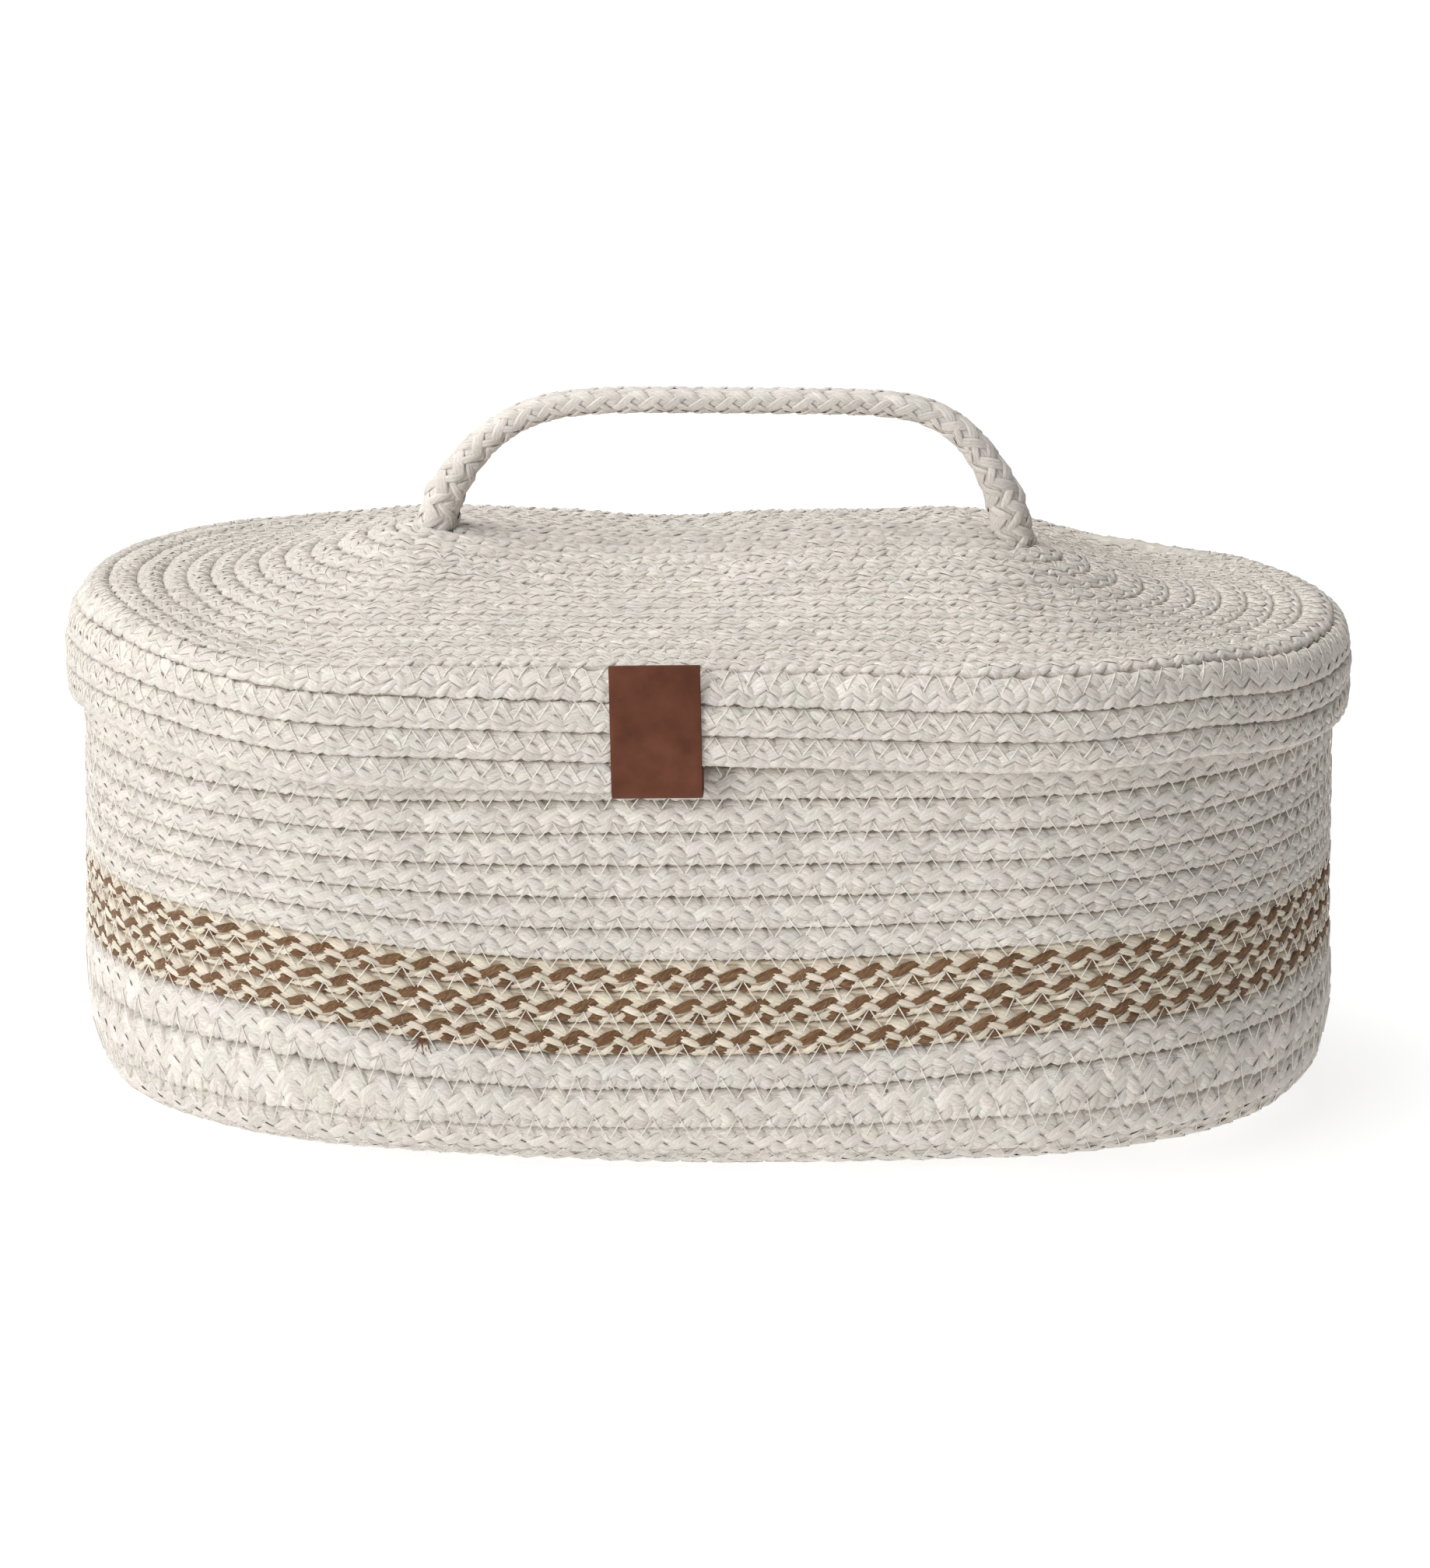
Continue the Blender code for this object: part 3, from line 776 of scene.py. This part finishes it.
def lay_core(name, weave, filling, stretches, under, inset):
    """What shows between the floats: the filled grooves and the rope's inner yarns."""
    strands = Strands()
    for start, stop in stretches:
        core(strands, filling, start, stop, under, 0.0)
        core(strands, weave.rope, start, stop, weave.tones[0], inset)
    strands.build(name, rope_cotton, weave.body)


def lay_round(strands, weave, inset, step=ROUND_CORE_STEP, full=1.0):
    """A free rope's two sides and its inner yarns."""
    for turned in (0.0, 180.0):
        braid(strands, weave, 0.0, weave.rope.reach, turned=turned, full=full)
    core(strands, weave.rope, 0.0, weave.rope.reach, weave.tones[0], inset, step)


lay_rope(body_weave, ("base_braid", "foot_braid"), (0.0, BASE_SPLIT, BAND_FIRST), "base_rope")
lay_rope(band_weave, ("band_braid",), (BAND_FIRST, BAND_LAST), "band_rope")
lay_rope(body_weave, ("wall_braid", "rim_braid"), (BAND_LAST, WALL_SPLIT, RIM_TURN), "wall_rope")
lay_rope(
    lid_weave,
    ("lid_ridge_braid", "lid_top_braid", "lid_rim_braid"),
    (LID_FIRST, RIDGE_SPLIT, TOP_SPLIT, LID_LAST),
    "lid_rope",
)

band_start, band_stop = body_coil.length_at(BAND_FIRST), body_coil.length_at(BAND_LAST)
cream_stretches = (0.0, band_start), (band_stop, body_coil.reach)
lay_core("body_cord", body_weave, body_filling, cream_stretches, UNDER, CORD_INSET)
lay_core("band_cord", band_weave, body_filling, ((band_start, band_stop),), FLECK_UNDER, BAND_CORD_INSET)
lay_core("lid_cord", lid_weave, lid_filling, ((0.0, lid_coil.reach),), UNDER, CORD_INSET)

# Sewing thread on the basket: V shapes over each groove, with their points on the course above.
# An angle is its mean and its spread, in degrees from a rope's outer side.
STITCH_REPEAT = 0.0067
STITCH_SPREAD = 0.05
STITCH_REACH = 0.0029
STITCH_REACH_SPREAD = 0.0003
STITCH_HIGH_ANGLE = (-14, 4)
STITCH_LOW_ANGLE = (46, 5)
STITCH_HIGH_RISE = 0.62 * MM
STITCH_LOW_RISE = 0.52 * MM
STITCH_MIDDLE_RISE = 0.05 * MM
STITCH_DEPTH = -0.7 * MM
STITCH_NEAR_SHARE = 0.03
THREAD_RADIUS = 0.135 * MM


def sew_body(name, first, last):
    """The thread that holds each course from first to the last but one to the course above it."""
    start, stop = body_coil.length_at(first), body_coil.length_at(last - 1)
    count = int((stop - start) / STITCH_REPEAT)
    jitter = rng.normal(0, STITCH_SPREAD, count)
    apex = start + (np.arange(count) + 0.5 + jitter) * STITCH_REPEAT
    top = np.repeat(apex, 2)
    foot = top + np.tile([-STITCH_REACH, STITCH_REACH], count)
    foot = foot + rng.normal(0, STITCH_REACH_SPREAD, 2 * count)
    high_angle = np.radians(rng.normal(*STITCH_HIGH_ANGLE, 2 * count))
    low_angle = np.radians(rng.normal(*STITCH_LOW_ANGLE, 2 * count))
    high_turn, low_turn = body_coil.turn_at(top) + 1, body_coil.turn_at(foot)
    high = body_coil.at_turn(high_turn, high_angle, STITCH_HIGH_RISE)
    high_end = body_coil.at_turn(high_turn, high_angle, STITCH_DEPTH)
    low = body_coil.at_turn(low_turn, low_angle, STITCH_LOW_RISE)
    low_end = body_coil.at_turn(low_turn, low_angle, STITCH_DEPTH)
    normal = unit(high - high_end)
    near = STITCH_NEAR_SHARE * (low - high)
    middle = (high + low) / 2 + STITCH_MIDDLE_RISE * normal
    lines = np.stack([high_end + near, high + near, middle, low - near, low_end - near], 1)
    strands = Strands()
    tubes(strands, lines, np.repeat(normal[:, None], 5, axis=1), THREAD_RADIUS, THREAD)
    strands.build(name, thread_cotton, "basket")


# Sewing thread on the lid: one zig-zag, whose legs rise and dive at these shares of their length,
# to these heights in mm
LID_STITCH_STEP = 0.0029
LID_STITCH_SPREAD = 0.07
LID_STITCH_LOW_ANGLE = (14, 5)
LID_STITCH_HIGH_ANGLE = -82
LID_STITCH_SHARES = np.array([0.0, 0.04, 0.35, 0.7, 0.97, 1.0])
LID_STITCH_RISES = np.array([-0.6, 0.25, 0.54, 0.58, 0.42, -0.6])
LID_THREAD_RADIUS = 0.13 * MM


def sew_lid(name, first, last):
    """The thread across the grooves of the lid, from course first to the last but one."""
    start, stop = lid_coil.length_at(first), lid_coil.length_at(last - 1)
    count = int((stop - start) / LID_STITCH_STEP)
    along = start + (np.arange(count) + rng.normal(0, LID_STITCH_SPREAD, count)) * LID_STITCH_STEP
    turn = lid_coil.turn_at(along)
    low_angle = rng.normal(*LID_STITCH_LOW_ANGLE, count)
    angle = np.where(np.arange(count) % 2, low_angle, LID_STITCH_HIGH_ANGLE)
    shares = LID_STITCH_SHARES
    turns = turn[:-1, None] * (1 - shares) + turn[1:, None] * shares + 1
    angles = angle[:-1, None] * (1 - shares) + angle[1:, None] * shares
    rises = LID_STITCH_RISES * MM + 0 * turns
    lines = lid_coil.at_turn(turns, np.radians(angles), rises)
    above = lid_coil.at_turn(turns, np.radians(angles), rises + MM)
    strands = Strands()
    tubes(strands, lines, above - lines, LID_THREAD_RADIUS, THREAD)
    strands.build(name, thread_cotton, "lid")


sew_body("base_stitches", 1.0, 10.0)
sew_body("wall_stitches", 9.0, RIM_TURN)
sew_lid("lid_top_stitches", 1.2, 10.0)
sew_lid("lid_rim_stitches", 9.0, LID_LAST)

# Handle: an arch with a squarer right shoulder, on two leaning roots that go into the lid
ARCH_POINTS = 121
ARCH_LEFT_POWER = 5.2
ARCH_RIGHT_POWER = 6.8
ROOT_POINTS = 8
ROOT_LOW = 0.012
ROOT_HIGH = 0.0015
ROOT_LEAN_SHARE = 0.25
ROOT_DOWN_SHARE = 0.97
ARCH_RADIUS = 0.0030
SHOULDER_SWELL = 0.0004
LEG_SWELL = 0.0015
CROWN_FACING = -0.40
LEG_FACING = 0.45
HANDLE_FULL_SHARE = 0.95
HANDLE_INSET = 0.0003


def handle_points():
    middle, half = (LEFT_FOOT + RIGHT_FOOT) / 2, (RIGHT_FOOT - LEFT_FOOT) / 2
    across = np.sin(np.linspace(-PI / 2, PI / 2, ARCH_POINTS))
    power = np.where(across < 0, ARCH_LEFT_POWER, ARCH_RIGHT_POWER)
    z = AXIS_HEIGHT + HANDLE_RISE * (1 - np.abs(across) ** power)
    arch = np.stack([middle + half * across, 0 * across, z], -1)
    down = np.linspace(ROOT_LOW, ROOT_HIGH, ROOT_POINTS)[:, None]
    left = arch[0] - down * np.array([ROOT_LEAN_SHARE, 0, ROOT_DOWN_SHARE])
    right = arch[-1] + down[::-1] * np.array([ROOT_LEAN_SHARE, 0, -ROOT_DOWN_SHARE])
    return np.concatenate([left, arch, right])


def make_handle():
    """The arch, braided all round. Its braid faces the front, and turns outward down the legs."""
    points = handle_points()
    tangent = unit(np.gradient(points, axis=0))
    outward = np.stack([-tangent[:, 2], 0 * tangent[:, 0], tangent[:, 0]], -1)
    low = np.clip(1 - (points[:, 2:] - AXIS_HEIGHT) / HANDLE_RISE, 0, 1)
    facing = (LEG_FACING - CROWN_FACING) * low + CROWN_FACING
    outer = np.array([0, -1, 0]) * np.cos(facing) + outward * np.sin(facing)
    radius = ARCH_RADIUS + SHOULDER_SWELL * np.sqrt(low) + LEG_SWELL * low**2
    rope = Line(points, outer, radius[:, 0])
    weave = Weave(rope, HANDLE_REPEAT, (HANDLE_CREAM, HANDLE_CREAM), 0.85, 1.2, None, "handle_cotton")
    strands = Strands()
    lay_round(strands, weave, HANDLE_INSET, full=HANDLE_FULL_SHARE)
    arch = strands.build("handle_braid", rope_cotton, weave.body, ("handle_rope",))
    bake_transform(arch)


make_handle()

# The handle rope's ends: each goes through the lid, winds round itself and is drawn tight
KNOT_HEIGHT = 0.013
KNOT_TURNS = 1.4
KNOT_REACH = 5.3 * MM
KNOT_START_DROP = 0.0098
KNOT_CLIMB = 0.0066
KNOT_MIDDLE_DROP = 0.006
KNOT_OPENING = (0, 0.12)
KNOT_CLIMBING = (0.1, 1.0)
KNOT_OUTER_RISE_SHARE = 0.2
KNOT_NUDGE = (0, -1e-4, 0)
KNOT_POINTS = 60
NECK_POINTS = 14
NECK_OVERLAP = 0.001
KNOT_ROPE_RADIUS = 0.0027
KNOT_INSET = 0.0001


def knot(name, node, x):
    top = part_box(node)[0][2] + KNOT_HEIGHT
    spin = np.linspace(0, 2 * PI * KNOT_TURNS, KNOT_POINTS)
    share = spin / spin[-1]
    reach = ramp(share, KNOT_REACH, *KNOT_OPENING)
    height = top - KNOT_START_DROP + ramp(share, KNOT_CLIMB, *KNOT_CLIMBING)
    coil = np.stack([x + reach * np.cos(spin), reach * np.sin(spin), height], -1)
    neck_z = np.linspace(RIDGE_TOP - NECK_OVERLAP, height[0] + NECK_OVERLAP, NECK_POINTS)
    neck = np.stack([x + 0 * neck_z, 0 * neck_z, neck_z], -1)
    line = np.concatenate([neck, coil])
    outer = line - np.array([x, 0, top - KNOT_MIDDLE_DROP])
    outer[:, 2] *= KNOT_OUTER_RISE_SHARE
    outer[: len(neck)] = (0, -1, 0)
    rope = Line(line, outer + np.array(KNOT_NUDGE), KNOT_ROPE_RADIUS)
    weave = Weave(rope, KNOT_REPEAT, (HANDLE_CREAM, HANDLE_CREAM), 0.75, 1.25, "lid", "handle_cotton")
    strands = Strands()
    lay_round(strands, weave, KNOT_INSET)
    strands.build(name, rope_cotton, weave.body, (node,))


knot("left_knot", "left_handle_end", LEFT_FOOT)
knot("right_knot", "right_handle_end", RIGHT_FOOT)

# Loose fibres: their points, curl and arch, and the fuzz's lengths, stand and radius in mm
FIBRE_POINTS = 5
FIBRE_CURL = 0.25
FIBRE_ARCH_SHARE = 0.8
FUZZ_ANGLE = 80
FUZZ_LENGTHS = (0.8, 2.6)
FUZZ_STANDS = (0.25, 0.7)
FUZZ_RADIUS = 0.022


def fibres(strands, roots, directions, normals, length, stand, radius, tone):
    """Curved hairs that leave the surface along directions and stand off it a little."""
    share = np.linspace(0, 1, FIBRE_POINTS)[None, :, None]
    curl = np.cross(normals, directions) * rng.normal(0, FIBRE_CURL, (len(roots), 1))
    lines = roots[:, None] + share * length[:, None, None] * directions[:, None]
    lines = lines + share**2 * length[:, None, None] * curl[:, None]
    lines = lines + np.sin(share * PI * FIBRE_ARCH_SHARE) * stand[:, None, None] * normals[:, None]
    tubes(strands, lines, np.repeat(normals[:, None], FIBRE_POINTS, axis=1), radius, tone, sides=3)


PROBE_RISE = 0.5 * MM
PROBE_TURN = 0.002


def surface_frame(rope, turn, angle):
    """Points of a rope's surface, with the ways out of it, along the rope and across it."""
    root = rope.at_turn(turn, angle, 0 * angle)
    normal = unit(rope.at_turn(turn, angle, 0 * angle + PROBE_RISE) - root, TINY)
    forward = unit(rope.at_turn(turn + PROBE_TURN, angle, 0 * angle) - root, TINY)
    return root, normal, forward, np.cross(normal, forward)


def fuzz(name, weave, first, last, count):
    """Fine fibres over a rope's outer side, in its first colour."""
    rope = weave.rope
    turn = rope.turn_at(rng.uniform(rope.length_at(first), rope.length_at(last), count))
    angle = np.radians(rng.uniform(-FUZZ_ANGLE, FUZZ_ANGLE, count))
    root, normal, forward, side = surface_frame(rope, turn, angle)
    heading = rng.uniform(0, 2 * PI, count)[:, None]
    directions = np.cos(heading) * forward + np.sin(heading) * side
    length = rng.uniform(*FUZZ_LENGTHS, count) * MM
    stand = rng.uniform(*FUZZ_STANDS, count) * MM
    strands = Strands()
    fibres(strands, root, directions, normal, length, stand, FUZZ_RADIUS * MM, weave.tones[0])
    strands.build(name, thread_cotton, weave.body)


fuzz("foot_fuzz", body_weave, 9.0, BAND_FIRST, 900)
fuzz("band_fuzz", band_weave, BAND_FIRST, BAND_LAST, 700)
fuzz("wall_fuzz", body_weave, BAND_LAST, RIM_TURN, 1500)
fuzz("lid_fuzz", lid_weave, LID_FIRST + 0.2, LID_LAST, 2600)

# The frayed yarn end, on the stripe's lowest course. Its fibres' lengths and stand are in mm.
FRAY_TURN = 13
FRAY_PLACE = -0.0630
FRAY_COUNT = 34
FRAY_TURN_SPREAD = 0.0012
FRAY_ANGLE = (-78, 5)
FRAY_HEADING_SPREAD = 0.55
FRAY_LENGTHS = (1.5, 4.6)
FRAY_STANDS = (0.4, 1.3)
FRAY_RADIUS = 0.1
FRAY_ROOT_DEPTH = 0.2


def fray():
    """A brown yarn's end that hangs loose below the stripe."""
    turn = front_turn(FRAY_TURN, FRAY_PLACE) + rng.normal(0, FRAY_TURN_SPREAD, FRAY_COUNT)
    angle = np.radians(rng.normal(*FRAY_ANGLE, FRAY_COUNT))
    root, normal, forward, _ = surface_frame(body_coil, turn, angle)
    heading = rng.normal(0, FRAY_HEADING_SPREAD, FRAY_COUNT)[:, None]
    down = np.cos(heading) * np.array([0, 0, -1.0]) + np.sin(heading) * forward
    length = rng.uniform(*FRAY_LENGTHS, FRAY_COUNT) * MM
    stand = rng.uniform(*FRAY_STANDS, FRAY_COUNT) * MM
    root = root - FRAY_ROOT_DEPTH * MM * normal
    strands = Strands()
    fibres(strands, root, down, normal, length, stand, FRAY_RADIUS * MM, FRAYED_BROWN)
    strands.build("frayed_end", rope_cotton, "basket")


fray()

# The ropes are braided all round: their other side, which lines the basket and the lid
lay_rope(body_weave, ("base_lining",), (0.0, BAND_FIRST))
lay_rope(band_weave, ("band_lining",), (BAND_FIRST, BAND_LAST))
lay_rope(body_weave, ("wall_lining",), (BAND_LAST, RIM_TURN))
lay_rope(lid_weave, ("lid_top_lining", "lid_rim_lining"), (LID_FIRST, LINING_SPLIT, LID_LAST))

# The rope's own start, which the base's first turn closes on
PLUG_PLACE = 3 * MM
PLUG_LENGTH = 7.4 * MM
PLUG_SIDE = -0.5 * MM
PLUG_RADIUS = 3.7 * MM
PLUG_TAPER_SHARE = 0.6
PLUG_POINTS = 12
PLUG_CORE_STEP = 0.0005


def plug_base():
    share = np.linspace(0, 1, PLUG_POINTS)
    x = PLUG_PLACE - CORE - PLUG_LENGTH * share
    line = np.stack([x, PLUG_SIDE + 0 * share, BODY_THICK / 2 + 0 * share], -1)
    rope = Line(line, [(0, 0, -1)] * PLUG_POINTS, PLUG_RADIUS * np.sqrt(1 - PLUG_TAPER_SHARE * share**3))
    weave = body_weave._replace(rope=rope, size=0.9, fat=1.25)
    strands = Strands()
    lay_round(strands, weave, CORD_INSET, PLUG_CORE_STEP)
    strands.build("base_start", rope_cotton, weave.body)


plug_base()


# Leather tag
LEATHER_DARK = (0.084, 0.026, 0.012, 1)
LEATHER_LIGHT = (0.140, 0.047, 0.025, 1)
LEATHER_PORES = (0.7, 0.66, 0.62, 1)


def leather():
    """Smooth brown leather: cloudy tone, fine grain and pores, soft sheen."""
    mat, n, shader = new_material("tag_leather")
    place = n.place()
    cloud = n.noise(place, 130.0, 4.0)
    cells = n.make("ShaderNodeTexVoronoi", {"Vector": place, "Scale": 2300.0}, feature="DISTANCE_TO_EDGE")
    fine = n.noise(place, 900.0, 3.0)
    colour = n.mix("MIX", n.spread(cloud, 0.3, 0.7, 0, 1), LEATHER_DARK, LEATHER_LIGHT)
    colour = n.mix("MULTIPLY", n.spread(fine, 0.35, 0.65, 0.2, 0.0), colour, LEATHER_PORES)
    grain = n.spread(cells.outputs["Distance"], 0, 0.12, 0, 1)
    height = n.math("ADD", n.product(grain, 0.5), fine)
    n.fill(shader, {
        "Base Color": colour,
        "Normal": n.bump(height, 0.35, 0.1 * MM),
        "Roughness": n.spread(fine, 0.3, 0.7, 0.45, 0.6),
        "Specular IOR Level": 0.14,
    })
    return mat


TAG_THICK = 0.0009
TAG_LINE_INSET = 0.0005
TAG_SIDE_INSET = 0.0003
TAG_FOLD = 0.0018
TAG_FLAP = 0.0138
TAG_COLUMNS = 15
TAG_FACE_ROWS = 30
TAG_FOLD_STEPS = 6
TAG_FLAP_ROWS = 12
TAG_RIPPLE = 0.000125
TAG_RIPPLES = 3
TAG_RIPPLE_SLANT = 160
TAG_CURL = 0.0004
TAG_CURL_ROWS = 6
TAG_SWING_SHARE = 0.019
TAG_TILT_SHARE = 0.022
TAG_EDGE_ROUND = 0.0002
TAG_EDGE_ANGLE = 50


def tag_section(low, high):
    """The folded tag's middle line, as (y, z), from the top of its face down, under and up behind."""
    front, rear = low[1] + TAG_LINE_INSET, high[1] - TAG_LINE_INSET
    bottom = low[2] + TAG_LINE_INSET
    line = [(front, z) for z in np.linspace(high[2], bottom + TAG_FOLD, TAG_FACE_ROWS)]
    angles = np.linspace(0, PI / 2, TAG_FOLD_STEPS + 1)
    for angle in angles[1:]:
        line.append((front + TAG_FOLD * (1 - math.cos(angle)), bottom + TAG_FOLD * (1 - math.sin(angle))))
    for angle in angles:
        line.append((rear - TAG_FOLD * (1 - math.sin(angle)), bottom + TAG_FOLD * (1 - math.cos(angle))))
    line += [(rear, z) for z in np.linspace(bottom + TAG_FOLD, bottom + TAG_FLAP, TAG_FLAP_ROWS)[1:]]
    return line


def tag_mesh():
    """The tag's middle surface: a little rippled, curled at its top and hung askew."""
    low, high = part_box("leather_tag")
    middle_x = (low[0] + high[0]) / 2
    middle_z = (low[2] + TAG_LINE_INSET + high[2]) / 2
    line = tag_section(low, high)
    points = []
    for x in np.linspace(low[0] + TAG_SIDE_INSET, high[0] - TAG_SIDE_INSET, TAG_COLUMNS):
        for row, (y, z) in enumerate(line):
            phase = PI * row / (TAG_FACE_ROWS - 1) * TAG_RIPPLES + x * TAG_RIPPLE_SLANT
            ripple = -TAG_RIPPLE * math.sin(phase) if row < TAG_FACE_ROWS else 0
            curl = -TAG_CURL * max(0, 1 - row / TAG_CURL_ROWS) ** 2
            swing = -TAG_SWING_SHARE * (z - middle_z)
            points.append((x + swing, y + curl + ripple, z + TAG_TILT_SHARE * (x - middle_x)))
    down = len(line)
    corners = [i * down + j for i in range(TAG_COLUMNS - 1) for j in range(down - 1)]
    mesh = bpy.data.meshes.new("tag")
    mesh.from_pydata(points, [], [(a, a + 1, a + down + 1, a + down) for a in corners])
    mesh.shade_smooth()
    return mesh


def make_tag():
    mesh = tag_mesh()
    mesh.materials.append(leather())
    tag = add_object("tag", mesh)
    thick = tag.modifiers.new("thickness", "SOLIDIFY")
    thick.thickness = TAG_THICK
    thick.offset = 0.0
    edge = tag.modifiers.new("edge", "BEVEL")
    edge.width = TAG_EDGE_ROUND
    edge.segments = 2
    edge.limit_method = "ANGLE"
    edge.angle_limit = math.radians(TAG_EDGE_ANGLE)
    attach(tag, "lid")
    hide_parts("leather_tag")


make_tag()

# Floor, light and camera
FLOOR_REACH = 30
FLOOR_DROP = 0.0001
FLOOR_DARK = (0.39, 0.39, 0.39, 1)
FLOOR_LIGHT = (0.41, 0.41, 0.41, 1)
FLOOR_GLOW = (0.75, 0.89)
FLOOR_GLOW_SPAN = (0.9, 2.6)


def floor_material():
    """A pale floor, whose glow grows with the distance from the basket."""
    mat, n, shader = new_material("pale_floor")
    place = n.place()
    away = n.make("ShaderNodeVectorMath", {0: place}, operation="LENGTH").outputs["Value"]
    n.fill(shader, {
        "Base Color": n.mix("MIX", n.noise(place, 6.0), FLOOR_DARK, FLOOR_LIGHT),
        "Roughness": 0.9,
        "Emission Color": (1, 1, 1, 1),
        "Emission Strength": n.spread(away, *FLOOR_GLOW_SPAN, *FLOOR_GLOW),
    })
    return mat


def make_floor():
    mesh = bpy.data.meshes.new("floor")
    corners = ((-1, -1), (1, -1), (1, 1), (-1, 1))
    points = [(x * FLOOR_REACH, y * FLOOR_REACH, -FLOOR_DROP) for x, y in corners]
    mesh.from_pydata(points, [], [(0, 1, 2, 3)])
    mesh.materials.append(floor_material())
    floor = add_object("floor", mesh)


def aim(obj, place, target):
    """Put a light or the camera at a place, looking at a target."""
    obj.location = place
    obj.rotation_euler = (Vector(target) - Vector(place)).to_track_quat("-Z", "Y").to_euler()


LIGHT_TARGET = (0, 0, 0.06)


def area_light(name, place, size, power, colour):
    lamp = bpy.data.lights.new(name, "AREA")
    lamp.shape = "SQUARE"
    lamp.size = size
    lamp.energy = power
    lamp.color = colour
    aim(add_object(name, lamp), place, LIGHT_TARGET)


SKY_LEFT = 0.76


def make_sky():
    """White light from all round, brighter from the left."""
    world = bpy.data.worlds.new("studio")
    world.use_nodes = True
    n = Nodes(world.node_tree)
    sideways = n.make("ShaderNodeSeparateXYZ", {0: n.place("Generated")}).outputs[0]
    strength = n.spread(sideways, -1, 1, SKY_LEFT, 0.0)
    n.fill(world.node_tree.nodes["Background"], {"Color": (1, 1, 1, 1), "Strength": strength})
    bpy.context.scene.world = world
    bpy.context.scene.view_settings.view_transform = "Standard"


CAMERA_TURN = math.radians(2.5)
CAMERA_AWAY = 1.150
CAMERA_HEIGHT = 0.3924
CAMERA_TARGET = (0.002, 0, 0.0755)
CAMERA_LENS = 109.07
CAMERA_SENSOR = 36.0
CAMERA_NEAR = 0.05


def make_camera():
    place = (math.sin(CAMERA_TURN) * CAMERA_AWAY, -math.cos(CAMERA_TURN) * CAMERA_AWAY, CAMERA_HEIGHT)
    camera = add_object("camera", bpy.data.cameras.new("camera"))
    aim(camera, place, CAMERA_TARGET)
    camera.data.sensor_fit = "VERTICAL"
    camera.data.sensor_height = CAMERA_SENSOR
    camera.data.lens = CAMERA_LENS
    camera.data.clip_start = CAMERA_NEAR
    bpy.context.scene.camera = camera


make_floor()
area_light("key", (-1.12, -1.20, 0.63), size=1.1, power=16.2, colour=(0.98, 1.0, 1.02))
area_light("top", (-0.36, 0.1, 1.6), size=1.2, power=17.6, colour=(1, 1, 1))
make_sky()
make_camera()
